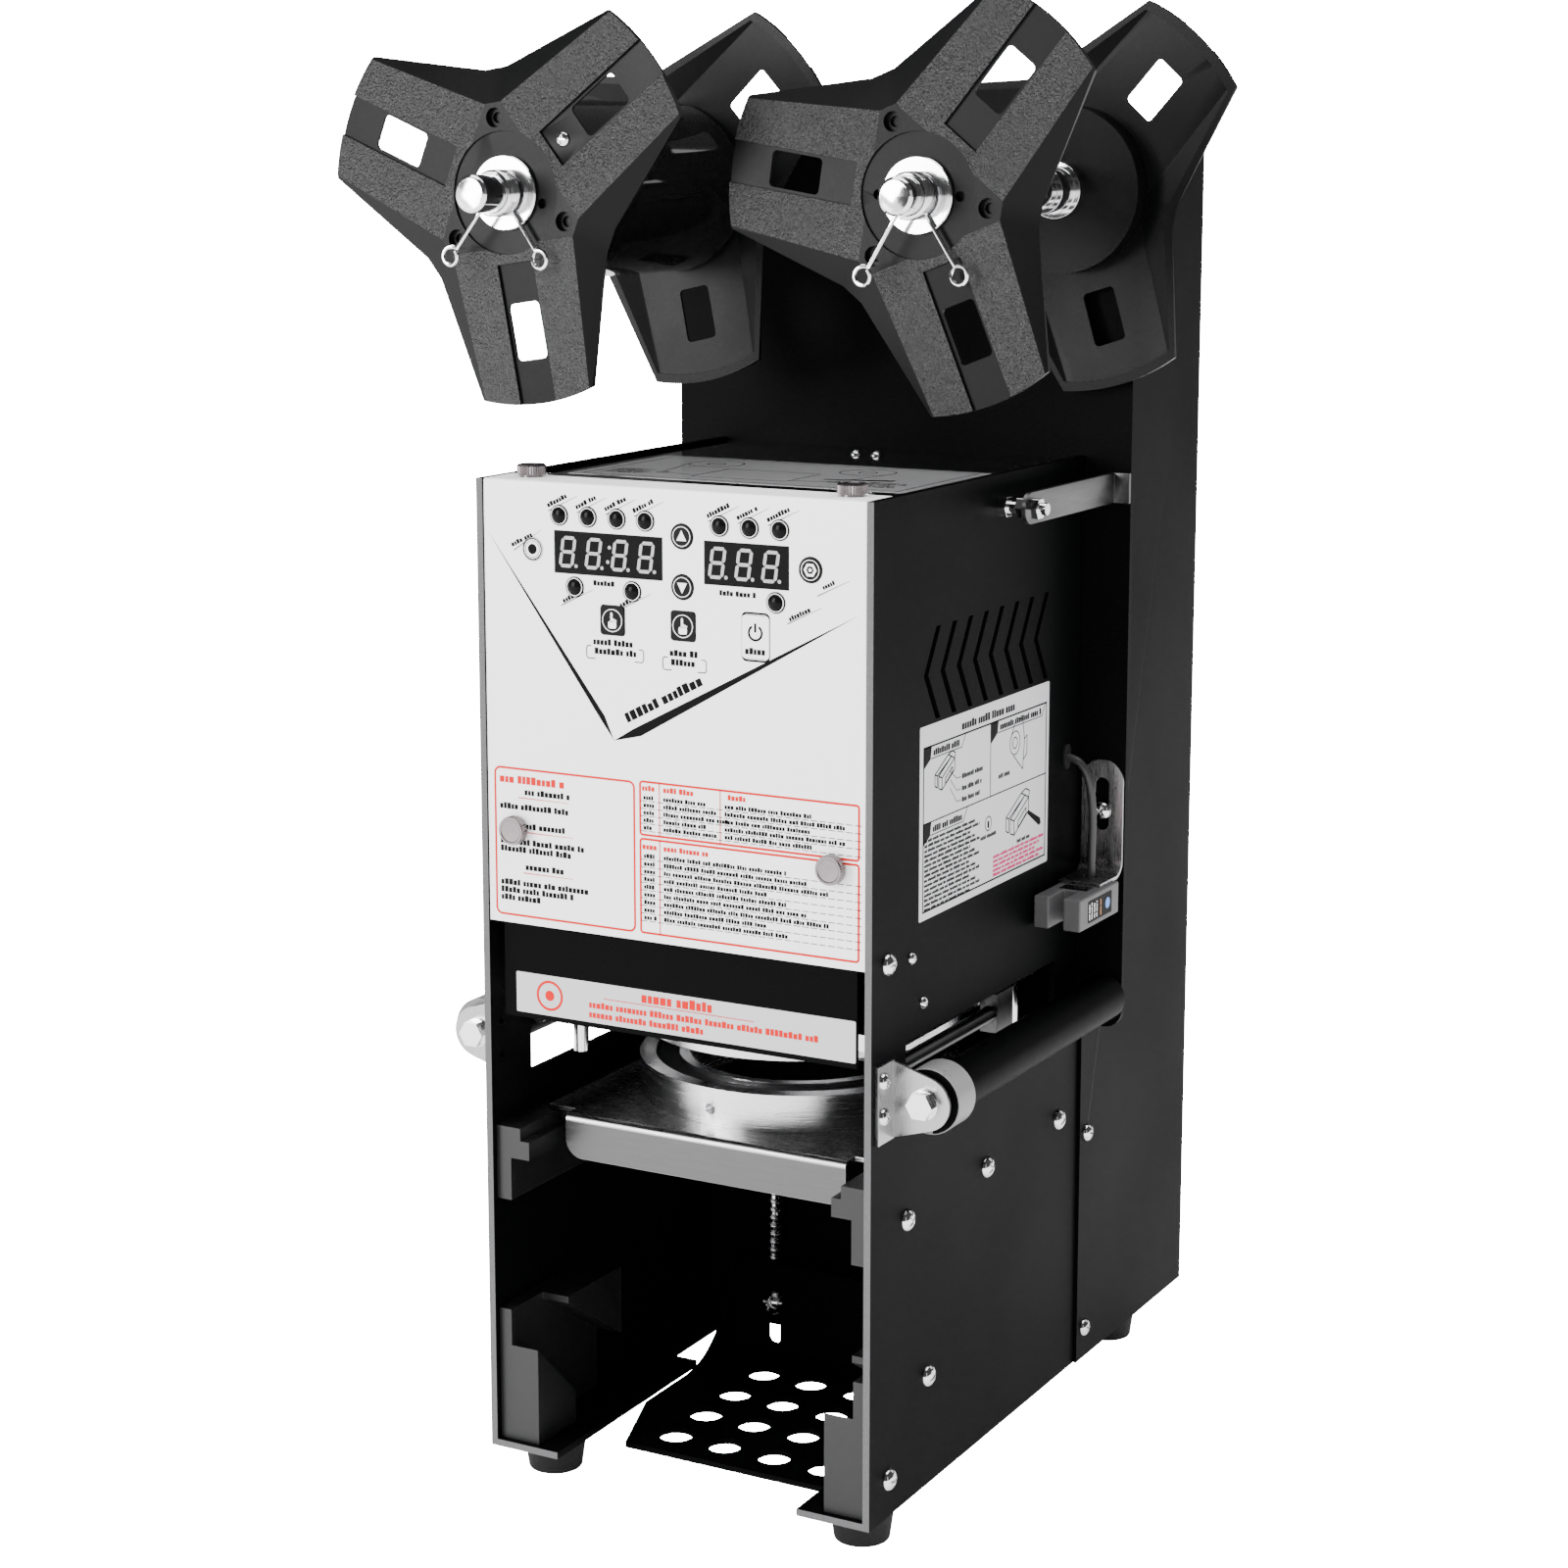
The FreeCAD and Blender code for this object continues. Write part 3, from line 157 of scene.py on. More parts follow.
floor_mesh.materials.append(floor_paint)

# ---- sensor lead
# A short black jacketed lead held at both ends: out of the side panel's grommet, down into the
# top of the film sensor. Its whole length shows.


def effect_group(name, inputs):
    """An empty node group with its sockets; returns the tree, its inputs and its end node."""
    tree = bpy.data.node_groups.new(name, "ShaderNodeTree")
    for socket, default in inputs:
        kind = "NodeSocketVector" if isinstance(default, tuple) else "NodeSocketFloat"
        tree.interface.new_socket(socket, in_out="INPUT", socket_type=kind).default_value = default
    for socket in ("Height", "Rough", "Shade"):
        tree.interface.new_socket(socket, in_out="OUTPUT", socket_type="NodeSocketFloat")
    return tree, tree.nodes.new("NodeGroupInput").outputs, tree.nodes.new("NodeGroupOutput")


def close_effect(tree, start, end, height, shade):
    """Turns an effect's shade into its roughness and links its three results."""
    gloss = node(tree, "ShaderNodeMapRange", [("Value", shade), ("From Min", 0.3), ("From Max", 0.7),
            ("To Min", start["Low"]), ("To Max", start["High"])])
    for socket, source in (("Height", height), ("Rough", gloss.outputs[0]), ("Shade", shade)):
        tree.links.new(source, end.inputs[socket])
    return tree


def build_grain():
    """Speckled relief: Height for a bump, Rough to vary gloss, Shade to vary colour."""
    tree, start, end = effect_group("surface_grain", [("Scale", 2200.0), ("Low", 0.35), ("High", 0.5),
            ("Mottle", 14.0)])
    place = node(tree, "ShaderNodeTexCoord").outputs["Object"]
    fine = node(tree, "ShaderNodeTexNoise", [("Vector", place), ("Scale", start["Scale"]), ("Detail", 2.0),
            ("Roughness", 0.6)])
    broad = node(tree, "ShaderNodeTexNoise", [("Vector", place), ("Scale", start["Mottle"]), ("Detail", 3.0)])
    mixed = node(tree, "ShaderNodeMath", [(0, fine.outputs[0]), (1, 0.5)], operation="MULTIPLY")
    both = node(tree, "ShaderNodeMath", [(0, broad.outputs[0]), (1, 0.5), (2, mixed.outputs[0])],
            operation="MULTIPLY_ADD")
    return close_effect(tree, start, end, fine.outputs[0], both.outputs[0])


grain_effect = build_grain()


def finish(name, colour, effect, settings, relief, metallic=0.0, dark=0.8, specular=0.5, fixed=()):
    """A Principled material whose gloss, tone and relief come from one of the shared effects."""
    tint = colour if isinstance(colour, tuple) else (colour, colour, colour)
    material = bpy.data.materials.new(name)
    material.use_nodes = True
    tree = material.node_tree
    shader = tree.nodes["Principled BSDF"]
    for socket, value in (("Metallic", metallic), ("Specular IOR Level", specular), *fixed):
        shader.inputs[socket].default_value = value
    group = node(tree, "ShaderNodeGroup", settings.items(), node_tree=effect)
    tone = node(tree, "ShaderNodeMix", [(0, group.outputs["Shade"]), (6, [dark * c for c in tint] + [1.0]),
            (7, [min(1.0, c / dark) for c in tint] + [1.0])], data_type="RGBA")
    strength, distance = relief
    bump = node(tree, "ShaderNodeBump", [("Height", group.outputs["Height"]), ("Strength", strength),
            ("Distance", distance)])
    for source, socket in ((tone.outputs[2], "Base Color"), (group.outputs["Rough"], "Roughness"),
            (bump.outputs[0], "Normal")):
        tree.links.new(source, shader.inputs[socket])
    return material


thin_print = (0.05, 0.0001)


def grained(name, colour, scale, gloss, mottle, relief=thin_print, **rest):
    """A finish with the speckled grain, its roughness between the two gloss limits."""
    settings = {"Scale": scale, "Low": gloss[0], "High": gloss[1], "Mottle": mottle}
    return finish(name, colour, grain_effect, settings, relief, **rest)


rubber_black = grained("soft_rubber", 0.004, 700, (0.55, 0.75), 40, (0.3, 0.0003), specular=0.3)
lead_thickness = 3.6 * MM
lead_route = [at(89.5, 183.5, 298.0), at(94.0, 183.5, 297.4), at(97.8, 183.8, 294.6),
        at(100.2, 184.4, 289.6), at(101.6, 185.2, 281.5), at(102.0, 185.9, 270.5), at(101.7, 186.0, 257.5),
        at(101.5, 186.0, 244)]


def smooth_line(name, points, thickness, material):
    """A round cord on a smooth spline through its control points."""
    curve = bpy.data.curves.new(name, "CURVE")
    curve.dimensions = "3D"
    curve.bevel_depth = thickness / 2
    curve.bevel_resolution = 6
    curve.resolution_u = 16
    spline = curve.splines.new("NURBS")
    spline.points.add(len(points) - 1)
    for knot, place in zip(spline.points, points):
        knot.co = (*place, 1.0)
    spline.order_u = 3
    spline.use_endpoint_u = True
    curve.materials.append(material)
    made = placed(name, curve)
    return made


jacket_black = grained("cable_jacket", (0.016, 0.016, 0.017), 900, (0.28, 0.42), 60, (0.1, 0.0002))
sensor_lead = smooth_line("sensor_lead", lead_route, lead_thickness, jacket_black)
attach(sensor_lead, "root")
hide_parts("sensor_cable")

# ---- side panels
# Two folded steel sheets in satin black powder paint. Their cut front edges are left in a
# sparkling grey. Every sheet and moulding gets the small rounded edge that folding and
# moulding leave, on a clean copy that stands for the designed part.


def evaluated_mesh(made):
    """The object's mesh with its modifiers applied, put back as a plain mesh."""
    graph = bpy.context.evaluated_depsgraph_get()
    solid = bpy.data.meshes.new_from_object(made.evaluated_get(graph), preserve_all_data_layers=True,
            depsgraph=graph)
    made.modifiers.clear()
    made.data = solid
    return made


def shown(name, mesh, body, materials):
    """Puts a mesh in the scene as a piece that rides on a body."""
    for material in materials:
        mesh.materials.append(material)
    made = placed(name, mesh)
    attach(made, body)
    return made


def finished(part, materials, edge=0.3, pick=None, segments=2, sharp=32.0):
    """A clean copy of a designed part with rounded edges; pick(centre, normal) chooses a finish."""
    source = frame["nodes"][part]
    body = source["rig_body"]
    shape = bmesh.new()
    shape.from_mesh(source.data)
    bmesh.ops.remove_doubles(shape, verts=shape.verts, dist=2e-6)
    bmesh.ops.dissolve_limit(shape, angle_limit=math.radians(0.4), verts=shape.verts, edges=shape.edges)
    mesh = bpy.data.meshes.new(part + "_made")
    shape.to_mesh(mesh)
    shape.free()
    mesh.materials.clear()
    for material in materials:
        mesh.materials.append(material)
    made = placed(part + "_made", mesh)
    mesh.shade_smooth()
    mesh.set_sharp_from_angle(angle=math.radians(sharp))
    if edge:
        rounding = made.modifiers.new("rounded_edges", "BEVEL")
        rounding.width = edge * MM
        rounding.segments = segments
        rounding.limit_method = "ANGLE"
        rounding.angle_limit = math.radians(sharp)
        rounding.harden_normals = True
        rounding.use_clamp_overlap = True
        evaluated_mesh(made)
    for face in made.data.polygons:
        face.material_index = pick(face.center, face.normal) if pick else 0
    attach(made, body)
    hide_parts(part)
    return made


def edge_strip(centre, normal):
    """The panels' cut front edges are left sparkling grey."""
    return 1 if normal.y < -0.5 and centre.y < case_front + 0.6 * MM else 0


case_paint = grained("satin_black_powder", (0.0016, 0.0016, 0.0018), 2600, (0.4, 0.55), 9, (0.25, 0.0002),
        specular=0.025)
edge_paint = grained("sparkling_edge_paint", (0.06, 0.06, 0.062), 3200, (0.3, 0.6), 1500, (0.9, 0.0006),
        dark=0.35)
for part in ("right_side_panel", "left_side_panel"):
    finished(part, [case_paint, edge_paint], edge=0.35, pick=edge_strip)

# ---- back plate, column and inner sheets
# The same powder-painted steel sheet: the tall back plate, the column cover behind it, the
# inner rear wall, the deck of the heater head and its brackets, and the raised cup platform.
for part in ("back_plate", "column_cover", "cup_platform", "inner_rear_wall", "head_deck", "inner_brackets"):
    finished(part, [case_paint], edge=0.4)

# ---- top cover
# A lid of gloss black sheet between the side panels, which mirrors what stands above it.
piano_black = grained("gloss_black_lid", (0.003, 0.003, 0.0034), 900, (0.04, 0.09), 8, (0.02, 0.0001),
        fixed=[("Coat Weight", 0.5), ("Coat Roughness", 0.03)])
finished("top_cover", [piano_black], edge=0.3)

# ---- moulded parts
# Black plastic mouldings: the tray's rails and runners, the lower cup guides, the switches
# and the mains inlet. The feet, the ring's gasket and the lead's grommet are black rubber.
moulded_black = grained("moulded_black", (0.002, 0.002, 0.0022), 1500, (0.3, 0.46), 20, (0.15, 0.0002),
        specular=0.12)
# The rails, runners and lower cup guides take a lighter copy of the black moulding: painted light inside the
# shaded bay.
guide_plastic_painted_light = grained("guide_plastic_painted_light", (0.0055, 0.0055, 0.0058), 1300, (0.35, 0.5), 25, (0.15, 0.0002))
for part in ("tray_rails", "tray_runners", "lower_guides"):
    finished(part, [guide_plastic_painted_light], edge=0.45)
for part in ("micro_switches", "power_inlet"):
    finished(part, [moulded_black], edge=0.35)
finished("rubber_feet", [rubber_black], edge=0.8)
finished("ring_gasket", [rubber_black], edge=0.4)
finished("cable_grommet", [rubber_black], edge=0.2)

# ---- tray and cup ring
# The tray is folded stainless sheet, brushed from side to side. The cup ring on it and the
# heater head above it are turned from aluminium, with fine turning lines round them.


def build_brushing():
    """Long fine scratches; Stretch sets how far they run along each axis."""
    tree, start, end = effect_group("brushed_lines", [("Stretch", (1.0, 60.0, 60.0)), ("Scale", 60.0),
            ("Low", 0.2), ("High", 0.4)])
    place = node(tree, "ShaderNodeTexCoord").outputs["Object"]
    long_way = node(tree, "ShaderNodeVectorMath", [(0, place), (1, start["Stretch"])], operation="MULTIPLY")
    lines = node(tree, "ShaderNodeTexNoise", [("Vector", long_way.outputs[0]), ("Scale", start["Scale"]),
            ("Detail", 4.0), ("Roughness", 0.7)])
    return close_effect(tree, start, end, lines.outputs[0], lines.outputs[0])


brushing_effect = build_brushing()


def brushed(name, colour, stretch, scale, gloss, relief, dark):
    """A bare metal finish with brushed or turned lines."""
    settings = {"Stretch": stretch, "Scale": scale, "Low": gloss[0], "High": gloss[1]}
    return finish(name, colour, brushing_effect, settings, relief, metallic=1.0, dark=dark)


brushed_tray = brushed("brushed_stainless_along_x", 0.3, (1, 26, 26), 55, (0.2, 0.36), (0.12, 0.0002),
        dark=0.85)
turned_metal = brushed("turned_aluminium", (0.72, 0.72, 0.73), (1, 1, 45), 45, (0.13, 0.3), (0.3, 0.0003),
        dark=0.9)
# A rougher and darker copy of the brushed steel for the tray lip's front face; the darker colour is painted
# shade.
lip_steel_painted_shade = brushed("lip_steel_painted_shade", 0.11, (1, 26, 26), 55, (0.26, 0.42), (0.12, 0.0002), dark=0.85)


lip_bend = 154.5


def tray_lip_shade_pick(centre, normal):
    """The lip's flat front face is rougher than the bend and the top, and its darker colour is painted shade.
    """
    return 1 if normal.y < -0.98 and centre.z < lip_bend * MM else 0


finished("tray_plate", [brushed_tray, lip_steel_painted_shade], edge=0.3, pick=tray_lip_shade_pick)
finished("cup_ring", [turned_metal], edge=0.6, segments=3)
for part in ("seal_disc", "heater_plate", "head_plate"):
    finished(part, [turned_metal], edge=0.4)

# ---- heater drive and power
# Inside the case: chromed guide posts and hinge pin, sintered bronze bushings, the two gear
# motors, the crank, the power supply in its painted can and the green control board.
chrome = grained("bright_chrome", (0.82, 0.82, 0.83), 500, (0.07, 0.16), 50, (0.04, 0.0001), metallic=1,
        dark=0.93)
bronze = grained("sintered_bronze", (0.42, 0.27, 0.12), 1200, (0.3, 0.5), 90, (0.3, 0.0003), metallic=1)
motor_grey = grained("motor_grey", (0.16, 0.16, 0.17), 900, (0.35, 0.5), 40, (0.2, 0.0003), metallic=0.6)
board_green = grained("board_green", (0.02, 0.13, 0.05), 700, (0.3, 0.5), 90, (0.1, 0.0002))
for part in ("door_hinge_pin", "guide_posts"):
    finished(part, [chrome], edge=0.3)
finished("bronze_bushings", [bronze], edge=0.3)
for part in ("head_motor", "takeup_motor", "power_supply", "head_crank"):
    finished(part, [motor_grey], edge=0.6)
finished("control_board", [board_green], edge=0)

# ---- film spools
# Dished three-armed flanges are moulded in black plastic: leather-grained on the raised bands,
# smooth in the channels along the arms. Each turns on a chromed shaft with a washer and a
# sprung wire clip whose two looped ends are squeezed to let the flange off.
grained_black = grained("leather_grained_black", (0.002, 0.002, 0.0022), 1000, (0.2, 0.36), 30, (1, 0.001),
        dark=0.6, specular=0.5)
spools = [("takeup", -84.0, 15.0, (38.5, 42.7), 28.0, (-128, -55)),
        ("supply", 84.0, 47.0, (51.3, 47.6), 32.0, (-121, -57))]
spool_height = 540.0
arm_lean, arm_start = 0.053, -1.1
channel_depth = 1.2


def grained_band(x, face, angle):
    """A chooser for one flange: the leaning flat bands beside the channels are grained."""
    middle = at(x, face, spool_height)

    def choose(centre, normal):
        if not -0.9995 < normal.y < -0.995:
            return 0
        right, back, up = (centre - middle) / MM
        turns = [math.radians(angle + arm) for arm in (0, 120, 240)]
        along = max(right * math.cos(turn) + up * math.sin(turn) for turn in turns)
        return 1 if back - arm_start - arm_lean * along < channel_depth / 2 else 0
    return choose


for name, x, face, (front_angle, _), reach, ends in spools:
    finished(name + "_front_flange", [moulded_black, grained_black], edge=0.55,
            pick=grained_band(x, face, front_angle), segments=3, sharp=14.0)
    finished(name + "_rear_flange", [moulded_black], edge=0.5, segments=3, sharp=14.0)
    finished(name + "_shaft", [chrome], edge=0.3)
finished("takeup_core", [piano_black], edge=0.3)


def lathe(profile, sides, middle, axis, knurl=0.0, knurled=()):
    """A closed turned shape: (radius, along) pairs in millimetres about an axis from a place."""
    shape = bmesh.new()
    turn = Vector(axis).to_track_quat("Z", "Y").to_matrix()
    rings = []
    for index, (radius, along) in enumerate(profile):
        if radius == 0:
            rings.append([shape.verts.new(middle + turn @ Vector((0, 0, along * MM)))])
            continue
        ring = []
        for k in range(sides):
            r = radius * (1 - knurl * (k % 2)) if index in knurled else radius
            t = math.tau * k / sides
            ring.append(shape.verts.new(middle + turn @ Vector((r * math.cos(t), r * math.sin(t),
                    along)) * MM))
        rings.append(ring)
    for low, high in zip(rings, rings[1:]):
        for k in range(sides):
            near, far = k, (k + 1) % sides
            corners = [low[near % len(low)], low[far % len(low)], high[far % len(high)],
                    high[near % len(high)]]
            shape.faces.new(list(dict.fromkeys(corners)))
    for ring, flip in ((rings[0], True), (rings[-1], False)):
        if len(ring) > 1:
            shape.faces.new(list(reversed(ring)) if flip else ring)
    bmesh.ops.recalc_face_normals(shape, faces=shape.faces)
    return shape


def joined(name, shapes, sharp=30.0):
    """Several bmesh shapes as one smooth-shaded mesh."""
    mesh = bpy.data.meshes.new(name)
    whole = bmesh.new()
    for shape in shapes:
        shape.to_mesh(mesh)
        whole.from_mesh(mesh)
        shape.free()
    whole.to_mesh(mesh)
    whole.free()
    mesh.shade_smooth()
    mesh.set_sharp_from_angle(angle=math.radians(sharp))
    return mesh


def wire_tube(points, radius, sides=10):
    """A closed round wire through points in millimetres, measured as at() does."""
    places = [at(*point) for point in points]
    shape = bmesh.new()
    rings = []
    side = None
    for k, place in enumerate(places):
        ahead = (places[min(k + 1, len(places) - 1)] - places[max(k - 1, 0)]).normalized()
        side = ahead.orthogonal() if side is None else side - ahead * side.dot(ahead)
        side.normalize()
        other = ahead.cross(side)
        turns = [math.tau * j / sides for j in range(sides)]
        rings.append([shape.verts.new(place + (side * math.cos(t) + other * math.sin(t)) * radius * MM)
                for t in turns])
    for low, high in zip(rings, rings[1:]):
        for j in range(sides):
            shape.faces.new([low[j], low[(j + 1) % sides], high[(j + 1) % sides], high[j]])
    shape.faces.new(list(reversed(rings[0])))
    shape.faces.new(rings[-1])
    bmesh.ops.recalc_face_normals(shape, faces=shape.faces)
    return shape


def clip_wire(x, face, reach, ends):
    """The clip: five close turns round the shaft, then two legs with closed loops."""
    wire, grip = 0.85, 8.45
    coil_front, coil_back = face - 9.3, face - 2.1
    first, last = (math.radians(angle) for angle in ends)
    turns = 5
    sweep = math.tau * turns + (last - first)
    steps = 120
    points = []
    for k in range(steps + 1):
        share = k / steps
        turn = first + sweep * share
        points.append((x + grip * math.cos(turn), coil_front + (coil_back - coil_front) * share,
                spool_height + grip * math.sin(turn)))

    def leg(angle, y):
        out = [(x + r * math.cos(angle), y, spool_height + r * math.sin(angle)) for r in (14.0, 20.0, reach)]
        loop_r = 3.6
        middle = (x + (reach + loop_r) * math.cos(angle), spool_height + (reach + loop_r) * math.sin(angle))
        for k in range(1, 22):
            turn = angle + math.pi + math.tau * k / 22
            out.append((middle[0] + loop_r * math.cos(turn), y - 0.09 * k,
                    middle[1] + loop_r * math.sin(turn)))
        return out

    front_leg, back_leg = leg(first, coil_front), leg(last, coil_back)
    return wire_tube(list(reversed(front_leg)) + points + back_leg, wire)


for name, x, face, _, reach, ends in spools:
    washer = lathe([(7.6, 0.0), (14.4, 0.0), (15.0, 0.5), (15.0, 1.3), (14.6, 1.8), (7.6, 1.8)], 64,
            at(x, face + 0.8, spool_height), (0, -1, 0))
    clip = shown(name + "_wire_clip", joined(name + "_wire_clip",
            [washer, clip_wire(x, face, reach, ends)]), name + "_spool", [chrome])
    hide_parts(name + "_spring_clip")

# ---- film rollers and their brackets
# Black anodised tubes with a clear silicone ring at the front, on hex bolts in steel brackets.
brushed_small = brushed("brushed_stainless_upright", 0.36, (24, 24, 1), 60, (0.2, 0.38), (0.15, 0.0002),
        dark=0.82)
roller_z, roller_x = 190.0, 105.0
ring_span = (case_front + 20.0 * MM, case_front + 35.0 * MM)
frosted_clear = grained("frosted_silicone", 0.33, 500, (0.25, 0.4), 60, (0.1, 0.0002), dark=0.95,
        fixed=[("Transmission Weight", 0.55), ("IOR", 1.41)])


tube_radius, bolt_radius = 4.5, 6.6
bracket_back, bracket_front = 17.6, 15.9


def roller_finish(centre, normal):
    """The silicone ring is clear, the tube black."""
    beyond = math.hypot(abs(centre.x - case_middle) - roller_x * MM, centre.z - roller_z * MM)
    return 1 if ring_span[0] - 1e-5 < centre.y < ring_span[1] + 1e-5 and beyond > tube_radius * MM else 0


def bolt_finish(centre, normal):
    """The axles and bolt heads are chromed, the brackets brushed."""
    beyond = math.hypot(abs(centre.x - case_middle) - roller_x * MM, centre.z - roller_z * MM)
    behind = centre.y > case_front + bracket_back * MM
    in_front = centre.y < case_front + bracket_front * MM and beyond < bolt_radius * MM
    return 1 if behind or in_front else 0


for side in ("left", "right"):
    finished(side + "_roller", [case_paint, frosted_clear], edge=0.5, pick=roller_finish)
finished("roller_brackets", [brushed_small, chrome], edge=0.3, pick=bolt_finish)

# ---- strap brackets and film guide rods
# Dull steel: the two straps that tie the case to the back plate on a chromed bolt with nuts,
# and the short rods that guide the film inside the windows.


strap_bolt = at(0, 112.0, 414.0)
strap_inner, strap_outer, strap_bolt_radius = 102.4, 104.6, 4.7


def strap_finish(centre, normal):
    """The bolt and its nuts are chromed, the flat bar is dull."""
    beyond = math.hypot(centre.y - strap_bolt.y, centre.z - strap_bolt.z)
    off_bar = not strap_inner * MM < abs(centre.x - case_middle) < strap_outer * MM
    return 1 if beyond < strap_bolt_radius * MM and off_bar else 0


brushed_dark = brushed("dull_steel_strap", 0.09, (20, 1, 20), 60, (0.3, 0.45), (0.12, 0.0002), dark=0.8)
finished("strap_brackets", [brushed_dark, chrome], edge=0.3, pick=strap_finish)
finished("film_guide_rods", [brushed_dark], edge=0.25)

# ---- screws
# Chromed domed screws with a cross recess hold the panels, covers and brackets. Their heads
# are one shape, set on every screw of the design at its own size and direction.


def loose_parts(part):
    """The separate solids of a designed part, as lists of points in a set order."""
    shape = bmesh.new()
    shape.from_mesh(frame["nodes"][part].data)
    bmesh.ops.remove_doubles(shape, verts=shape.verts, dist=2e-6)
    left = set(shape.verts)
    found = []
    while left:
        heap = [left.pop()]
        group = []
        while heap:
            point = heap.pop()
            group.append(point.co.copy())
            for edge in point.link_edges:
                other = edge.other_vert(point)
                if other in left:
                    left.remove(other)
                    heap.append(other)
        found.append(sorted(group, key=tuple))
    shape.free()
    return sorted(found, key=lambda group: tuple(group[0]))


def corners(points):
    """The lowest and the highest corner of the box round some points."""
    return [Vector(pick(p[k] for p in points) for k in range(3)) for pick in (min, max)]


def screw_seat(points):
    """Where a domed screw sits: seat, outward direction, head radius and head height."""
    low, high = corners(points)
    size = high - low
    axis = min(range(3), key=lambda k: abs(size[(k + 1) % 3] - size[(k + 2) % 3]))
    middle = (low + high) / 2
    across = [k for k in range(3) if k != axis]

    def radius(p):
        return math.hypot(p[across[0]] - middle[across[0]], p[across[1]] - middle[across[1]])
    widest = size[across[0]] / 2
    seat = max(points, key=radius)[axis]
    above = [radius(p) for p in points if p[axis] > seat + 1e-4 and radius(p) > 0.62 * widest]
    below = [radius(p) for p in points if p[axis] < seat - 1e-4 and radius(p) > 0.62 * widest]
    outward = 1 if len(above) > len(below) else -1
    tip = high[axis] if outward > 0 else low[axis]
    place = middle.copy()
    place[axis] = seat
    direction = Vector((0, 0, 0))
    direction[axis] = outward
    return place, direction, widest, abs(tip - seat)


def cross_head_mesh():
    """A domed head of radius 1 and height 1 with its cross recess cut in."""
    rim = [(math.sin(math.radians(a)), math.cos(math.radians(a))) for a in range(84, 0, -12)]
    profile = [(0.45, -1.2), (0.45, 0.0), (1.0, 0.0)] + rim + [(0, 1.0)]
    dome = lathe([(r / MM, h / MM) for r, h in profile], 40, Vector((0, 0, 0)), (0, 0, 1))
    head = placed("screw_head_form", joined("screw_head_form", [dome], sharp=35.0))
    cutter_shape = bmesh.new()
    for turn in (0, 90):
        made = bmesh.ops.create_cube(cutter_shape, size=1.0)["verts"]
        bmesh.ops.scale(cutter_shape, verts=made, vec=(1.15, 0.19, 1.2))
        bmesh.ops.translate(cutter_shape, verts=made, vec=(0, 0, 1.12))
        bmesh.ops.rotate(cutter_shape, verts=made, matrix=Matrix.Rotation(math.radians(turn), 3, "Z"))
    cutter = placed("screw_recess_form", joined("screw_recess_form", [cutter_shape]))
    cut = head.modifiers.new("cross_recess", "BOOLEAN")
    cut.operation, cut.object, cut.solver, cut.use_self = "DIFFERENCE", cutter, "EXACT", True
    evaluated_mesh(head)
    bpy.data.objects.remove(cutter)
    return head


def geometry_group(name, inputs):
    """An empty Geometry Nodes tree; returns it, its inputs and the inputs' identifiers."""
    tree = bpy.data.node_groups.new(name, "GeometryNodeTree")
    sockets = [tree.interface.new_socket(label, in_out="INPUT", socket_type="NodeSocket" + kind)
            for label, kind in inputs]
    tree.interface.new_socket("Geometry", in_out="OUTPUT", socket_type="NodeSocketGeometry")
    return tree, tree.nodes.new("NodeGroupInput").outputs, [socket.identifier for socket in sockets]


def close_geometry(tree, shape, material):
    """Makes the tree's instances real, paints them and hands them out."""
    real = node(tree, "GeometryNodeRealizeInstances", [("Geometry", shape)])
    painted = node(tree, "GeometryNodeSetMaterial", [("Geometry", real.outputs[0]), ("Material", material)])
    node(tree, "NodeGroupOutput", [("Geometry", painted.outputs[0])])


def scatter_tree(material):
    """Geometry Nodes: sets one form on every point, by the points' own size and direction."""
    tree, start, names = geometry_group("screws_on_points",
            [("Points", "Geometry"), ("Form", "Object"), ("Size Factor", "Float")])
    form = node(tree, "GeometryNodeObjectInfo", [("Object", start["Form"])])
    size = node(tree, "GeometryNodeInputNamedAttribute", [("Name", "head_size")], data_type="FLOAT_VECTOR")
    facing = node(tree, "GeometryNodeInputNamedAttribute", [("Name", "facing")], data_type="FLOAT_VECTOR")
    spin = node(tree, "FunctionNodeRandomValue", [(2, 0.0), (3, math.tau), ("Seed", 7)], data_type="FLOAT")
    turn = node(tree, "FunctionNodeAxisAngleToRotation", [("Axis", (0, 0, 1)), ("Angle", spin.outputs[1])])
    aim = node(tree, "FunctionNodeAlignRotationToVector", [("Vector", facing.outputs[0])], axis="Z")
    whole = node(tree, "FunctionNodeRotateRotation", [("Rotation", aim.outputs[0]),
            ("Rotate By", turn.outputs[0])], rotation_space="LOCAL")
    grown = node(tree, "ShaderNodeVectorMath", [(0, size.outputs[0]), (3, start["Size Factor"])],
            operation="SCALE")
    scattered = node(tree, "GeometryNodeInstanceOnPoints",
            [("Points", start["Points"]), ("Instance", form.outputs["Geometry"]),
            ("Rotation", whole.outputs[0]), ("Scale", grown.outputs[0])])
    close_geometry(tree, scattered.outputs[0], material)
    return tree, names[1], names[2]


def set_screws(name, seats, body):
    """Screw heads on their seats as one piece."""
    mesh = bpy.data.meshes.new(name)
    mesh.from_pydata([tuple(seat[0]) for seat in seats], [], [])
    for label, values in (("facing", [seat[1] for seat in seats]),
            ("head_size", [Vector((seat[2], seat[2], seat[3])) for seat in seats])):
        layer = mesh.attributes.new(label, "FLOAT_VECTOR", "POINT")
        layer.data.foreach_set("vector", [c for value in values for c in value])
    made = placed(name, mesh)
    form = cross_head_mesh()
    tree, form_input, factor_input = scatter_tree(chrome)
    scatter = made.modifiers.new("screws", "NODES")
    scatter.node_group = tree
    scatter[form_input] = form
    scatter[factor_input] = 1.0
    evaluated_mesh(made)
    bpy.data.objects.remove(form)
    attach(made, body)
    return made


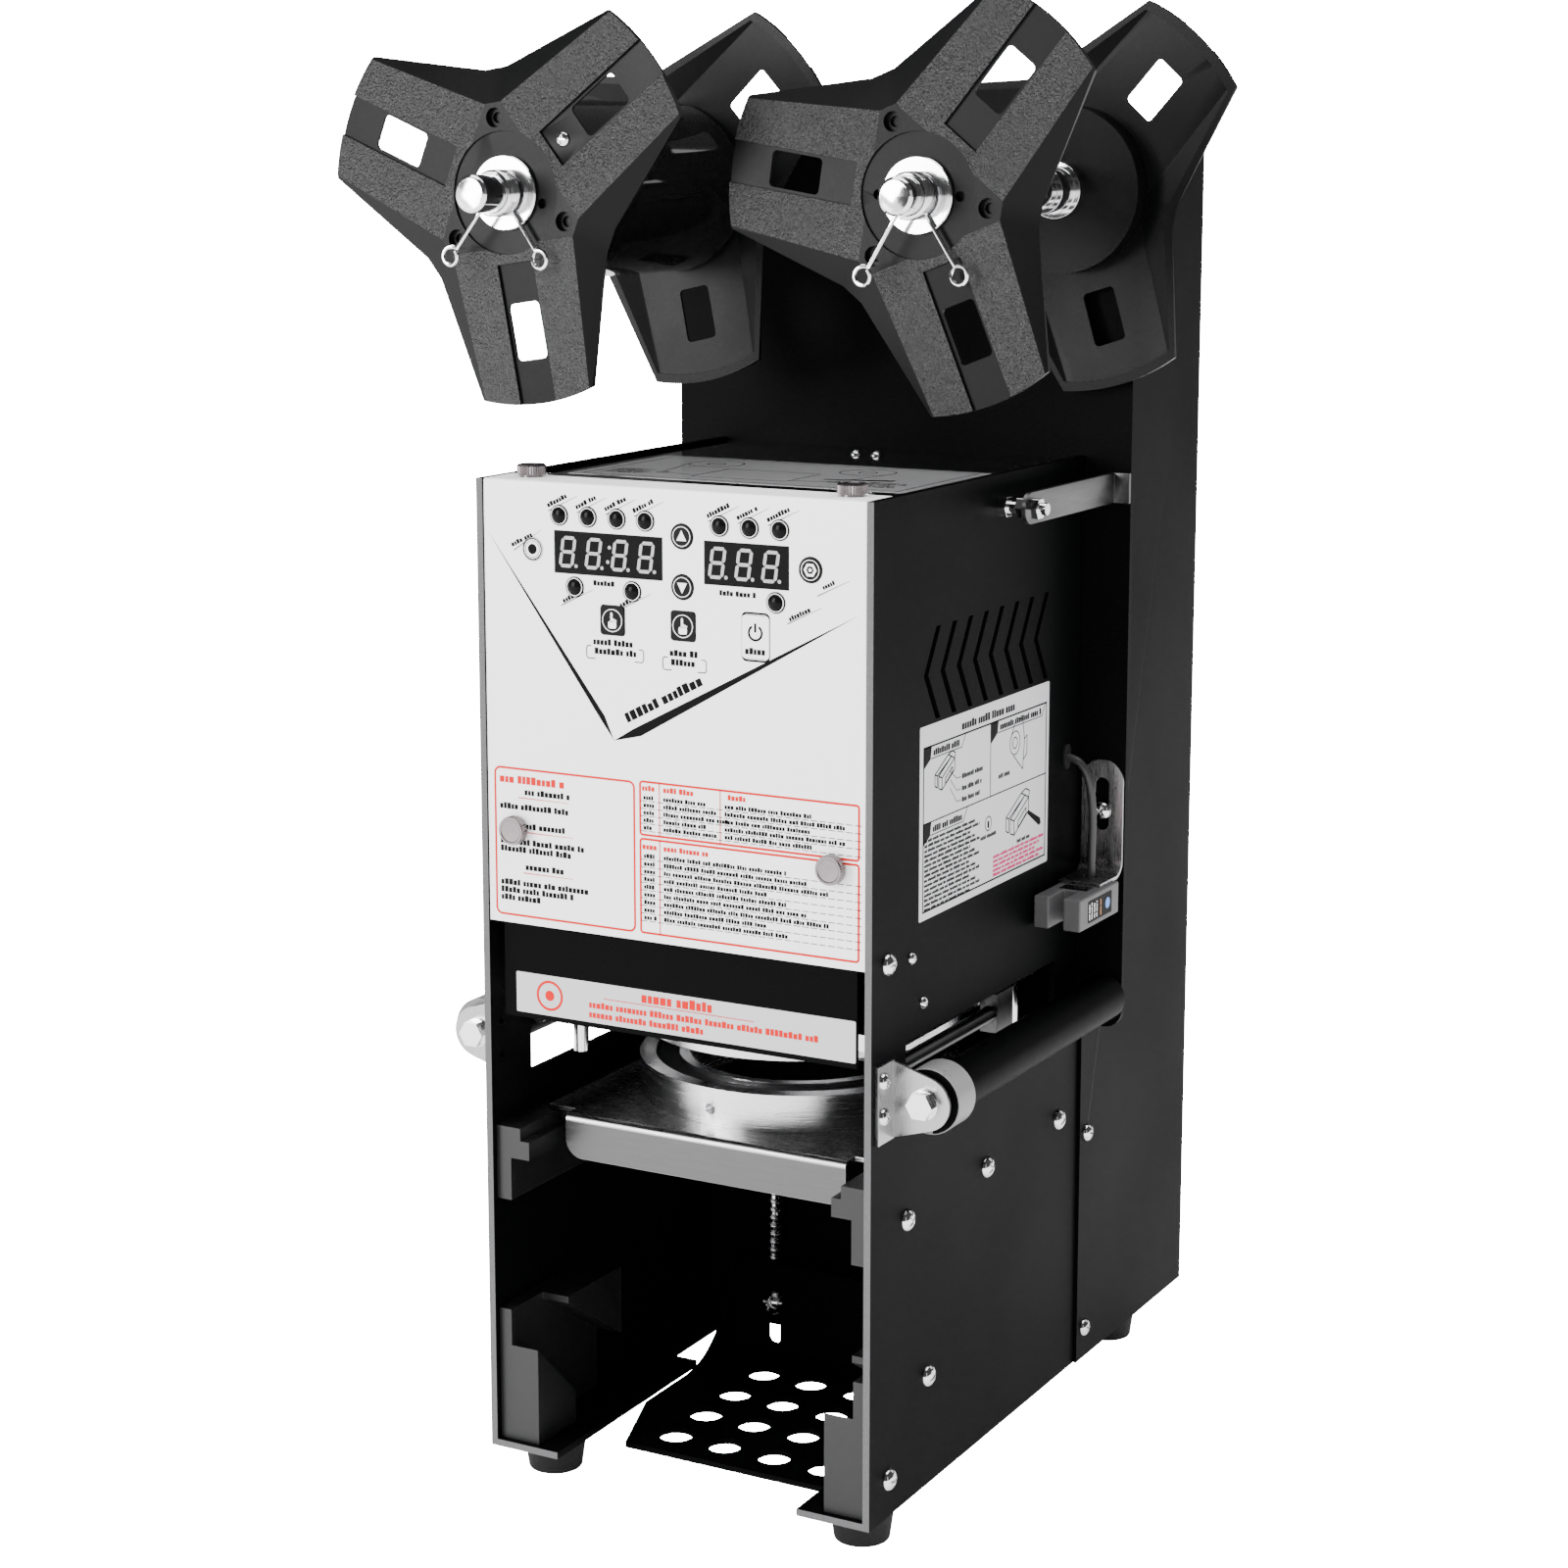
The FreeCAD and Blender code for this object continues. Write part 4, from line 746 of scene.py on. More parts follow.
case_screws = set_screws("cross_head_screws", [screw_seat(points) for points in loose_parts("case_screws")],
        "root")
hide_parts("case_screws")
screw_angle, screw_reach = math.radians(spools[0][3][0]), 34.0
arm_place = at(spools[0][1] + screw_reach * math.cos(screw_angle), 17.0,
        spool_height + screw_reach * math.sin(screw_angle))
set_screws("flange_screw", [(arm_place, Vector((0, -1, 0)), 3.1 * MM, 1.9 * MM)],
        "takeup_spool")

# ---- thumb screws
# Knurled, nickel-plated thumb screws: two hold the lid, two hold the front panel.
knurl_count = 36
thumb_reach = 5.0
thumb_radius = 6.0
thumb_shapes = []
nickel = grained("dull_nickel", (0.2, 0.175, 0.18), 900, (0.2, 0.36), 60, (0.1, 0.0002), metallic=1)
for points in loose_parts("panel_thumb_screws"):
    low, high = corners(points)
    middle = (low + high) / 2
    outward = Vector((0, 0, 1)) if middle.z > at(0, 0, 400).z else Vector((0, -1, 0))
    top = max((p - middle).dot(outward) for p in points)
    foot = middle + outward * (top - thumb_reach * MM)
    r = thumb_radius
    thumb_shapes.append(lathe([(2.0, -3.0), (2.0, 0.0), (4.5, 0.0), (4.5, 0.8), (0.9 * r, 0.8), (r, 1.3),
            (r, 4.4), (0.92 * r, 5.0), (0.8 * r, 5.0), (0.74 * r, 4.75), (0.3 * r, 4.6), (0, 4.6)],
            knurl_count * 2, foot, outward, knurl=0.05, knurled=(5, 6)))
thumbs = shown("knurled_thumb_screws", joined("knurled_thumb_screws", thumb_shapes), "root",
        [nickel])
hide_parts("panel_thumb_screws")

# ---- lift rods
# Two steel rods behind the cup platform, each inside a close coil spring.
coil_pitch = 3.9
spring_wire = 1.1


def spring_tree(material):
    """Geometry Nodes: a round wire swept along a spiral."""
    tree, start, names = geometry_group("coil_spring", [(label, "Float") for label in
            ("Turns", "Radius", "Height", "Wire")])
    spiral = node(tree, "GeometryNodeCurveSpiral", [("Resolution", 20), ("Rotations", start["Turns"]),
            ("Start Radius", start["Radius"]), ("End Radius", start["Radius"]),
            ("Height", start["Height"])])
    section = node(tree, "GeometryNodeCurvePrimitiveCircle",
            [("Resolution", 10), ("Radius", start["Wire"])])
    swept = node(tree, "GeometryNodeCurveToMesh", [("Curve", spiral.outputs[0]),
            ("Profile Curve", section.outputs[0]), ("Fill Caps", True)])
    smooth = node(tree, "GeometryNodeSetShadeSmooth", [("Geometry", swept.outputs[0])])
    close_geometry(tree, smooth.outputs[0], material)
    return tree, names


rod_shapes = []
for points in loose_parts("lift_rods"):
    low, high = corners(points)
    middle = Vector(((low.x + high.x) / 2, (low.y + high.y) / 2, low.z))
    length, radius = high.z - low.z, (high.x - low.x) / 2
    spring = placed("coil_form", bpy.data.meshes.new("coil_form"))
    winding = spring.modifiers.new("winding", "NODES")
    winding.node_group, inputs = spring_tree(chrome)
    wire = spring_wire * MM
    for identifier, value in zip(inputs, ((length - 2 * wire) / (coil_pitch * MM), radius - wire,
            length - 2 * wire, wire)):
        winding[identifier] = value
    evaluated_mesh(spring)
    spring.data.transform(Matrix.Translation(middle + Vector((0, 0, wire))))
    coil = bmesh.new()
    coil.from_mesh(spring.data)
    bpy.data.objects.remove(spring)
    core = lathe([(3.0, 0.0), (3.3, 0.4), (3.3, length / MM - 0.4), (3.0, length / MM)], 32, middle,
            (0, 0, 1))
    rod_shapes += [coil, core]
rods = shown("sprung_lift_rods", joined("sprung_lift_rods", rod_shapes, sharp=40.0), "root",
        [chrome])
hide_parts("lift_rods")

# ---- control panel
# A white enamelled steel sheet, screen printed in black and red: lamp underlines, brackets,
# a large open V and ruled red boxes. Each print is a thin layer of ink cut to shape. Lettering
# is left out, and small blocks stand for it.
panel_white = grained("panel_white", 0.83, 1800, (0.3, 0.42), 12, dark=0.97)
finished("control_panel", [panel_white], edge=0.25)
ink_thickness = 0.05


class Sheet:
    """A flat printed layer: collects cut-out shapes on a plane, then becomes one piece."""

    def __init__(self, origin, right, up, lift):
        self.right, self.up = Vector(right), Vector(up)
        self.out = self.right.cross(self.up)
        self.origin = origin + self.out * lift * MM
        self.shape = bmesh.new()

    def place(self, point, raised):
        return self.origin + (self.right * point[0] + self.up * point[1] + self.out * raised) * MM

    def patch(self, points):
        """A filled outline."""
        low = [self.shape.verts.new(self.place(p, 0)) for p in points]
        high = [self.shape.verts.new(self.place(p, ink_thickness)) for p in points]
        self.shape.faces.new(list(reversed(low)))
        self.shape.faces.new(high)
        for k in range(len(points)):
            n = (k + 1) % len(points)
            self.shape.faces.new([low[k], low[n], high[n], high[k]])

    def ring(self, outer, inner):
        """The band between two outlines with the same number of points."""
        rows = [[self.shape.verts.new(self.place(p, raised)) for p in loop]
                for loop, raised in ((outer, 0), (outer, ink_thickness), (inner, ink_thickness), (inner, 0))]
        for near, far in zip(rows, rows[1:] + rows[:1]):
            for k in range(len(outer)):
                n = (k + 1) % len(outer)
                self.shape.faces.new([near[k], near[n], far[n], far[k]])

    def stroke(self, start, end, thick, thick_end=None):
        """A straight line, which may taper."""
        thick_end = thick if thick_end is None else thick_end
        run = Vector(end) - Vector(start)
        side = Vector((-run.y, run.x)).normalized() / 2
        self.patch([tuple(Vector(start) - side * thick), tuple(Vector(end) - side * thick_end),
                tuple(Vector(end) + side * thick_end), tuple(Vector(start) + side * thick)])

    def chain(self, points, thick):
        for start, end in zip(points, points[1:]):
            self.stroke(start, end, thick)

    def circle(self, middle, radius, width=None, sides=40):
        outer = disc_points(middle, radius, sides)
        if width is None:
            self.patch(outer)
        else:
            self.ring(outer, disc_points(middle, radius - width, sides))

    def frame_box(self, low, high, width, radius):
        self.ring(rounded_box(low, high, radius), rounded_box((low[0] + width, low[1] + width),
                (high[0] - width, high[1] - width), max(radius - width, 0.05)))

    def word_bars(self, start, end, height, seed, direction=(1.0, 0.0)):
        """Small blocks grouped like words, in place of a line of lettering."""
        chance = random.Random(seed)
        length = (Vector(end) - Vector(start)).length
        way = Vector(direction).normalized()
        side = Vector((-way.y, way.x)) * height
        run, left_in_word = 0.0, chance.randint(3, 8)
        while run < length - 0.5 * height:
            wide = chance.uniform(0.46, 0.72) * height
            top = 0.5 if chance.random() < 0.35 else 0.3
            near, far = Vector(start) + way * run, Vector(start) + way * (run + wide)
            self.patch([tuple(near - side * 0.5), tuple(far - side * 0.5), tuple(far + side * top),
                    tuple(near + side * top)])
            left_in_word -= 1
            run += wide + (0.14 if left_in_word else 0.6) * height
            left_in_word = left_in_word or chance.randint(3, 8)

    def done(self, name, material, slot, body="root"):
        bmesh.ops.recalc_face_normals(self.shape, faces=self.shape.faces)
        mesh = bpy.data.meshes.new(name)
        self.shape.to_mesh(mesh)
        self.shape.free()
        return shown(name, mesh, body, [material])


def disc_points(middle, radius, sides=40):
    return [(middle[0] + radius * math.cos(math.tau * k / sides),
            middle[1] + radius * math.sin(math.tau * k / sides)) for k in range(sides)]


def rounded_box(low, high, radius, steps=5):
    corners = [(high[0] - radius, high[1] - radius, 0), (low[0] + radius, high[1] - radius, 90),
            (low[0] + radius, low[1] + radius, 180), (high[0] - radius, low[1] + radius, 270)]
    return [(x + radius * math.cos(math.radians(start + 90 * k / steps)),
            y + radius * math.sin(math.radians(start + 90 * k / steps)))
            for x, y, start in corners for k in range(steps + 1)]


def panel_sheet(depth=0.6, lift=0.03):
    """A sheet on the front panel, or on a face at another depth behind the case's front edge."""
    return Sheet(at(0, depth, 0), (1, 0, 0), (0, 0, 1), lift)


ink_black = grained("black_ink", 0.0025, 1500, (0.4, 0.55), 40, specular=0.04)
ink_red = grained("red_ink", (0.5, 0.001, 0.001), 1500, (0.4, 0.55), 40, dark=0.95, specular=0.1)
top_lamps = [(-50.7, 414.0), (-37.3, 414.0), (-23.9, 414.0), (-10.8, 414.0), (22.7, 414.0), (36.0, 414.0),
        (49.3, 414.0)]
low_lamps = [(-43.7, 385.7), (-17.0, 385.7), (47.6, 385.8)]
black = panel_sheet()
slant = (math.cos(math.radians(26)), math.sin(math.radians(26)))
for k, (x, z) in enumerate(top_lamps):
    black.stroke((x - 5.2, z + 1.4), (x + 8.6, z + 8.1), 0.4, 0.15)
    black.word_bars((x - 5.6, z + 3.6), (x + 4.4, z + 8.4), 1.9, 20 + k, slant)
for k, (x, z) in enumerate(low_lamps):
    away = 5.0 if k == 2 else -6.5
    black.stroke((x + away, z - 7.9), (x + away + 15.0, z - 0.6), 0.4, 0.15)
    black.word_bars((x + away + 0.8, z - 6.0), (x + away + 11.0, z - 1.2), 1.9, 40 + k, slant)
black.stroke((-72.5, 398.6), (-59.5, 407.5), 0.4, 0.15)
black.word_bars((-73.6, 400.8), (-63.6, 405.6), 1.9, 51, slant)
black.stroke((65.6, 389.6), (79.5, 396.4), 0.4, 0.15)
black.word_bars((68.0, 393.0), (73.6, 395.7), 1.7, 52, slant)
black.word_bars((-35.0, 388.0), (-24.8, 388.0), 2.1, 53)
black.word_bars((22.6, 388.0), (39.4, 388.0), 2.1, 54)
for left, right, low in ((-38.5, -12.0, 357.6), (-3.2, 16.6, 355.8)):
    for x, inward in ((left, 1), (right, -1)):
        black.chain([(x + inward * 4.0, low), (x + inward * 0.6, low), (x, low + 0.8), (x, low + 4.2),
                (x + inward * 0.6, low + 5.0), (x + inward * 2.2, low + 5.0)], 0.4)
    black.word_bars((left + 3.2, low + 6.9), (right - 2.6, low + 6.9), 2.5, int(left) + 90)
    black.word_bars((left + 3.8, low + 3.2), (right - 3.2, low + 3.2), 2.5, int(left) + 91)
black.patch([(-84.8, 405.5), (-33.0, 334.2), (-26.0, 325.1), (-30.4, 334.8)])
black.patch([(-26.0, 325.1), (-13.6, 328.0), (83.5, 383.4), (-17.4, 330.4)])
black.word_bars((-20.4, 334.6), (17.6, 354.4), 3.9, 61,
        (math.cos(math.radians(27.6)), math.sin(math.radians(27.6))))
black.frame_box((32.4, 362.0), (45.0, 381.4), 0.75, 2.2)
for row, (x0, x1, z) in enumerate([(-69, -47, 299.8), (-81, -47, 293.4), (-69, -49, 285.6),
        (-81, -40, 278.8), (-81, -45, 275.6), (-69, -49, 268.6), (-81, -39, 261.6), (-81, -46, 258.4),
        (-81, -62, 255.2)]):
    black.word_bars((x0, z), (x1, z), 2.5, 70 + row)
upper_rows = [303.4 - 3.05 * k for k in range(5)]
lower_rows = [279.6 - 3.15 * k for k in range(9)]
for k, z in enumerate(upper_rows + lower_rows):
    black.word_bars((-12.6, z), (-7.0, z), 1.75, 100 + k)
    black.word_bars((-3.4, z), (16.0 + 5 * (k % 3), z) if k < 5 else (44.0 + 9 * (k % 4), z), 1.75, 130 + k)
    if k < 5:
        black.word_bars((24.6, z), (64.0 + 14 * (k % 2), z), 1.75, 160 + k)
    for dash in range(26):
        x = -14.0 + dash * 3.85
        if x < 83:
            black.stroke((x, z - 1.5), (x + 2.9, z - 1.5), 0.3)
black.done("panel_black_print", ink_black, "white_paint")

red = panel_sheet()
red.frame_box((-83.7, 247.5), (-16.5, 309.6), 0.9, 3.0)
red.frame_box((-14.6, 287.7), (84.4, 310.2), 0.9, 1.6)
red.frame_box((-14.6, 247.6), (84.4, 286.9), 0.9, 1.6)
for x, low, high in ((-5.2, 288.2, 309.7), (22.6, 288.2, 309.7), (-5.2, 248.1, 286.4)):
    red.stroke((x, low), (x, high), 0.45)
red.word_bars((-81.0, 304.6), (-50.0, 304.6), 3.2, 200)
for z, x0, x1 in ((297.2, -72, -48), (283.0, -70, -46), (266.0, -70, -46)):
    red.stroke((x0, z), (x1, z), 0.45, 0.2)
for x0, x1, z in ((-13.2, -7.0, 307.2), (-3.4, 12.0, 307.2), (26.0, 34.0, 307.2), (-13.2, -7.0, 283.4),
        (-3.4, 18.0, 283.4)):
    red.word_bars((x0, z), (x1, z), 2.2, int(x1 * 3 + z))
red.done("panel_red_print", ink_red, "white_paint")

# ---- displays and lamps
# Two seven-segment modules and ten indicator lamps behind the panel. The unlit segments are
# pale grey under a smoked face; each lamp is a domed smoked lens in a black ring.
smoked_black = grained("smoked_lens", (0.003, 0.003, 0.0032), 900, (0.12, 0.2), 60, (0.03, 0.0001),
        specular=0.06)
ink_white = grained("white_ink", 0.85, 1500, (0.35, 0.5), 40, dark=0.96)
finished("panel_displays", [smoked_black], edge=0.25)
segment_grey = grained("unlit_segment", 0.3, 1500, (0.35, 0.5), 60, dark=0.9)
digits = panel_sheet(0.9)
digit_width, digit_height, lean, bar_width = 6.9, 12.6, 0.14, 1.35


def seven_segments(x, low):
    """Seven bevelled bars that lean to the right, and a point."""
    w, h, g, t = digit_width, digit_height, 0.18, bar_width / 2

    def lay(points):
        digits.patch([(x + px + (pz - h / 2) * lean, low + pz) for px, pz in points])
    for z in (t, h / 2, h - t):
        lay([(t + g, z), (2 * t + g, z - t), (w - 2 * t - g, z - t), (w - t - g, z), (w - 2 * t - g, z + t),
                (2 * t + g, z + t)])
    for px in (t, w - t):
        for z0, z1 in ((t + g, h / 2 - g), (h / 2 + g, h - t - g)):
            lay([(px, z0), (px + t, z0 + t), (px + t, z1 - t), (px, z1), (px - t, z1 - t), (px - t, z0 + t)])
    digits.circle((x + w + 1.35 - lean * h / 2, low + 0.8), 0.75, sides=16)


for left, count, pitch in ((-50.6, 4, 12.1), (18.0, 3, 11.8)):
    for k in range(count):
        seven_segments(left + k * pitch, 393.2)
for z in (396.6, 402.4):
    digits.circle((-28.0 + (z - 399.5) * lean, z), 0.75, sides=16)
digits.done("display_segments", segment_grey, "display_black")

lens_shapes, ring_shapes = [], []
for x, z in top_lamps + low_lamps:
    lens_shapes.append(lathe([(3.0, 0.0), (3.0, 0.25), (2.6, 0.75), (1.7, 1.1), (0.8, 1.25), (0, 1.3)], 28,
            at(x, 0.3, z), (0, -1, 0)))
    ring_shapes.append(lathe([(4.2, 0.0), (4.2, 0.28), (4.0, 0.42), (3.25, 0.42), (3.1, 0.2), (3.1, 0.0)],
            36, at(x, 0.55, z), (0, -1, 0)))
shown("lamp_lenses", joined("lamp_lenses", lens_shapes, sharp=50.0), "root", [smoked_black])
shown("lamp_rings", joined("lamp_rings", ring_shapes), "root", [moulded_black])

rims = panel_sheet(0.13)
for x, z in top_lamps + low_lamps:
    rims.circle((x, z), 3.65, 0.28)
rims.done("lamp_rims", ink_white, "black_plastic")

# ---- push buttons
# Seven membrane keys: black printed caps with white or black signs. Each cap moves on its own.
key_face = 0.2
button_black = grained("key_black", 0.0025, 1200, (0.25, 0.4), 60, specular=0.08)
for part, top in (("up_button", 1), ("down_button", -1)):
    finished(part, [button_black], edge=0.15)
    x, z = (5.8, 408.9) if top > 0 else (6.0, 389.0)
    sign = panel_sheet(key_face)
    sign.patch([(x - 2.2, z - 1.7 * top), (x + 2.2, z - 1.7 * top), (x, z + 2.5 * top)][::top])
    sign.circle((x, z), 4.0, 0.28)
    sign.done(part + "_sign", ink_white, "button_plastic", part)
finished("set_button", [button_black], edge=0.15)
sign = panel_sheet(key_face)
sign.circle((62.7, 399.5), 4.0, 0.28)
sign.ring(disc_points((62.7, 399.5), 2.8, 6), disc_points((62.7, 399.5), 1.7, 6))
sign.circle((62.7, 399.5), 0.7)
sign.done("set_button_sign", ink_white, "button_plastic", "set_button")
finished("count_reset_button", [panel_white], edge=0.15)
sign = panel_sheet(key_face)
sign.circle((-63.4, 399.7), 4.5, 0.55)
sign.circle((-63.4, 399.7), 3.45, 0.25)
sign.circle((-63.4, 399.7), 2.1)
sign.done("count_reset_button_sign", ink_black, "button_plastic", "count_reset_button")
for part, x, z in (("mode_button", -26.2, 373.5), ("reseal_button", 6.2, 373.6)):
    finished(part, [button_black], edge=0.15)
    sign = panel_sheet(key_face)
    sign.circle((x, z), 4.6, 0.3)
    sign.patch(rounded_box((x - 0.75, z - 0.8), (x + 0.15, z + 3.2), 0.42, 3))
    sign.patch(rounded_box((x - 1.9, z - 3.2), (x + 1.9, z - 0.3), 0.9, 3))
    for k in range(3):
        sign.patch(rounded_box((x + 0.35 + 0.62 * k - 0.1, z - 0.6),
                (x + 0.8 + 0.62 * k - 0.1, z + 0.9 - 0.25 * k), 0.2, 3))
    sign.done(part + "_sign", ink_white, "button_plastic", part)
finished("power_button", [panel_white], edge=0.15)
sign = panel_sheet(key_face)
gap_turn = 32
arc = [math.radians(a) for a in range(90 + gap_turn, 451 - gap_turn, 8)]
outer = [(38.7 + 3.3 * math.cos(t), 373.4 + 3.3 * math.sin(t)) for t in arc]
inner = [(38.7 + 2.4 * math.cos(t), 373.4 + 2.4 * math.sin(t)) for t in arc]
sign.patch(outer + inner[::-1])
sign.stroke((38.7, 373.6), (38.7, 377.2), 0.9)
sign.word_bars((34.2, 366.2), (43.2, 366.2), 2.6, 302)
sign.done("power_button_sign", ink_black, "button_plastic", "power_button")

# ---- safety door
# A black painted flap under the panel. A silver film strip on its face carries a plain red
# ring and red rules and blocks.
finished("safety_door", [case_paint], edge=0.4)
label_silver = grained("silver_label", (0.42, 0.42, 0.435), 1400, (0.25, 0.4), 8, dark=0.94)
strip_depth, film_lift, print_lift = 3.5, 0.02, 0.08
strip = panel_sheet(strip_depth, film_lift)
strip.patch(rounded_box((-76.2, 206.3), (81.4, 223.3), 0.6, 3))
strip.done("door_strip", label_silver, "display_black", "safety_door")
warning = panel_sheet(strip_depth, print_lift)
warning.circle((-60.0, 214.8), 6.4, 1.1)
warning.circle((-60.0, 214.8), 2.2)
warning.word_bars((-16.0, 219.9), (20.0, 219.9), 4.0, 400)
warning.stroke((-34.0, 217.0), (36.0, 217.0), 0.35)
warning.word_bars((-41.0, 213.8), (66.0, 213.8), 2.7, 401)
warning.word_bars((-41.0, 209.7), (14.0, 209.7), 2.7, 402)
warning.done("door_strip_print", ink_red, "display_black", "safety_door")

# ---- side label
# A silver paper label on the right panel: three framed boxes with line drawings of the film
# sensor and a film roll, and bars in place of the instructions.
ink_pink = grained("magenta_ink", (0.42, 0.003, 0.09), 1500, (0.4, 0.55), 40, dark=0.95, specular=0.1)


def side_sheet(x, lift):
    """A sheet that faces right, at a distance from the case's middle."""
    return Sheet(at(x, 0, 0), (0, 1, 0), (0, 0, 1), lift)


panel_side = 90
label_back, label_foot, label_front, label_top = 40.5, 255.5, 164.5, 334.0
paper = side_sheet(panel_side, film_lift)
paper.patch(rounded_box((label_back, label_foot), (label_front, label_top), 0.8, 3))
paper.done("side_label", label_silver, "white_paint")
drawn = side_sheet(panel_side, print_lift)
box_low, box_high = (label_back + 3, label_foot + 3), (label_front - 2.5, label_top - 8.5)
split_y, split_z = 106.0, 294.5
drawn.frame_box(box_low, box_high, 0.7, 0.1)
drawn.stroke((split_y, split_z), (split_y, box_high[1]), 0.5)
drawn.stroke((box_low[0], split_z), (box_high[0], split_z), 0.5)
drawn.word_bars((label_back + 38, label_top - 5.4), (label_back + 90, label_top - 5.4), 3.2, 500)
for left, high, wide, seed in ((box_low[0], box_high[1], 28, 501), (split_y, box_high[1], 44, 502),
        (box_low[0], split_z, 30, 503)):
    drawn.patch([(left, high), (left, high - 9.0), (left + 6.5, high - 5.5), (left + 7.5, high)])
    drawn.word_bars((left + 9, high - 3.2), (left + 7 + wide, high - 3.2), 2.6, seed)
    drawn.chain([(left + 7, high - 5.4), (left + wide + 7, high - 5.4), (left + wide + 11, high)], 0.4)


def fork_drawing(sheet, y, z, size):
    """A line drawing of the fork sensor: a long box seen at a slant, with its mouth in front."""
    def line(*points):
        sheet.chain([(y + a * size, z + b * size) for a, b in points], 0.55)
    line((0, 2.4), (0, -2.2), (2.2, -3.2), (2.2, 1.6), (0, 2.4), (12, 8.6), (15, 7.4), (2.2, 1.6))
    line((3.4, -3.7), (3.4, 1.2), (6.4, 0.1), (6.4, -4.8), (3.4, -3.7))
    line((6.4, 0.1), (18, 6.2), (18, 1.6), (6.4, -4.8))
    line((3.4, 1.2), (15, 7.4), (18, 6.2))
    line((9.5, -0.6), (9.5, -2.8), (16.0, 0.9), (16.0, 3.0), (9.5, -0.6))
    line((12, 8.6), (15.4, 9.6), (18.6, 8.4), (18, 6.2))


fork_drawing(drawn, 54.0, 310.5, 1.0)
fork_drawing(drawn, 122.0, 279.5, 1.25)
for corner_z, low_z, y_end, seed in ((312.0, 308.0, 88.0, 510), (308.5, 303.0, 86.0, 511),
        (305.0, 298.4, 84.0, 512)):
    drawn.chain([(68.0, corner_z), (74.0, low_z), (78.0, low_z)], 0.3)
    drawn.word_bars((79.0, low_z), (y_end + 12, low_z), 2.0, seed)
drawn.circle((130.0, 313.0), 5.2, 0.45)
drawn.circle((130.0, 313.0), 2.6, 0.45)
drawn.chain([(125.2, 314.8), (131.0, 323.4), (137.5, 322.0), (139.5, 313.0), (138.0, 300.5),
        (128.5, 307.8)], 0.45)
drawn.chain([(138.6, 304.5), (142.0, 306.5), (142.0, 314.5), (139.2, 313.0)], 0.45)
drawn.word_bars((114.0, 301.5), (126.0, 301.5), 2.0, 513)
drawn.patch([(143.5, 280.2), (144.5, 281.6), (156.6, 276.0), (157.2, 273.6), (155.2, 273.0)])
drawn.circle((104.5, 283.5), 3.2, 0.45)
drawn.patch(rounded_box((103.7, 281.6), (105.3, 284.6), 0.5, 3))
drawn.word_bars((97.0, 278.4), (113.0, 278.4), 1.6, 514)
drawn.word_bars((133.0, 270.4), (146.0, 270.4), 1.6, 515)
for k in range(15):
    z = 287.4 - 2.0 * k
    drawn.word_bars((45.0, z), (92.0 + 5.5 * math.sin(2.1 * k), z), 1.25, 520 + k)
drawn.done("side_label_print", ink_black, "white_paint")
notes = side_sheet(panel_side, print_lift)
for k in range(5):
    notes.word_bars((109.5, 268.2 - 1.9 * k), (160.0 - 4 * (k % 3), 268.2 - 1.9 * k), 1.3, 540 + k)
notes.done("side_label_note", ink_pink, "white_paint")

# ---- lid label
# A thin silvery foil on the gloss lid with a faint line drawing of how the film is threaded.


def top_sheet(z, lift):
    """A sheet that faces up, at a height."""
    return Sheet(at(0, 0, z), (1, 0, 0), (0, 1, 0), lift)


lid_top = 425.5
foil = top_sheet(lid_top, film_lift)
foil.patch(rounded_box((-75, 44), (80, 126), 1.0, 3))
lid_foil = grained("lid_foil", (0.28, 0.28, 0.285), 900, (0.1, 0.2), 10, (0.03, 0.0001), metallic=0.35,
        dark=0.92)
foil.done("lid_label", lid_foil, "gloss_black")
path = top_sheet(lid_top, print_lift)
path.frame_box((-70, 48), (76, 122), 0.5, 0.5)
for x in (-38.0, 34.0):
    path.circle((x, 104.0), 12.0, 0.5)
    path.circle((x, 104.0), 4.0, 0.5)
path.frame_box((-24, 58), (20, 90), 0.5, 1.0)
path.chain([(-49, 98), (-42, 66), (-24, 62)], 0.4)
path.chain([(45, 98), (38, 66), (20, 62)], 0.4)
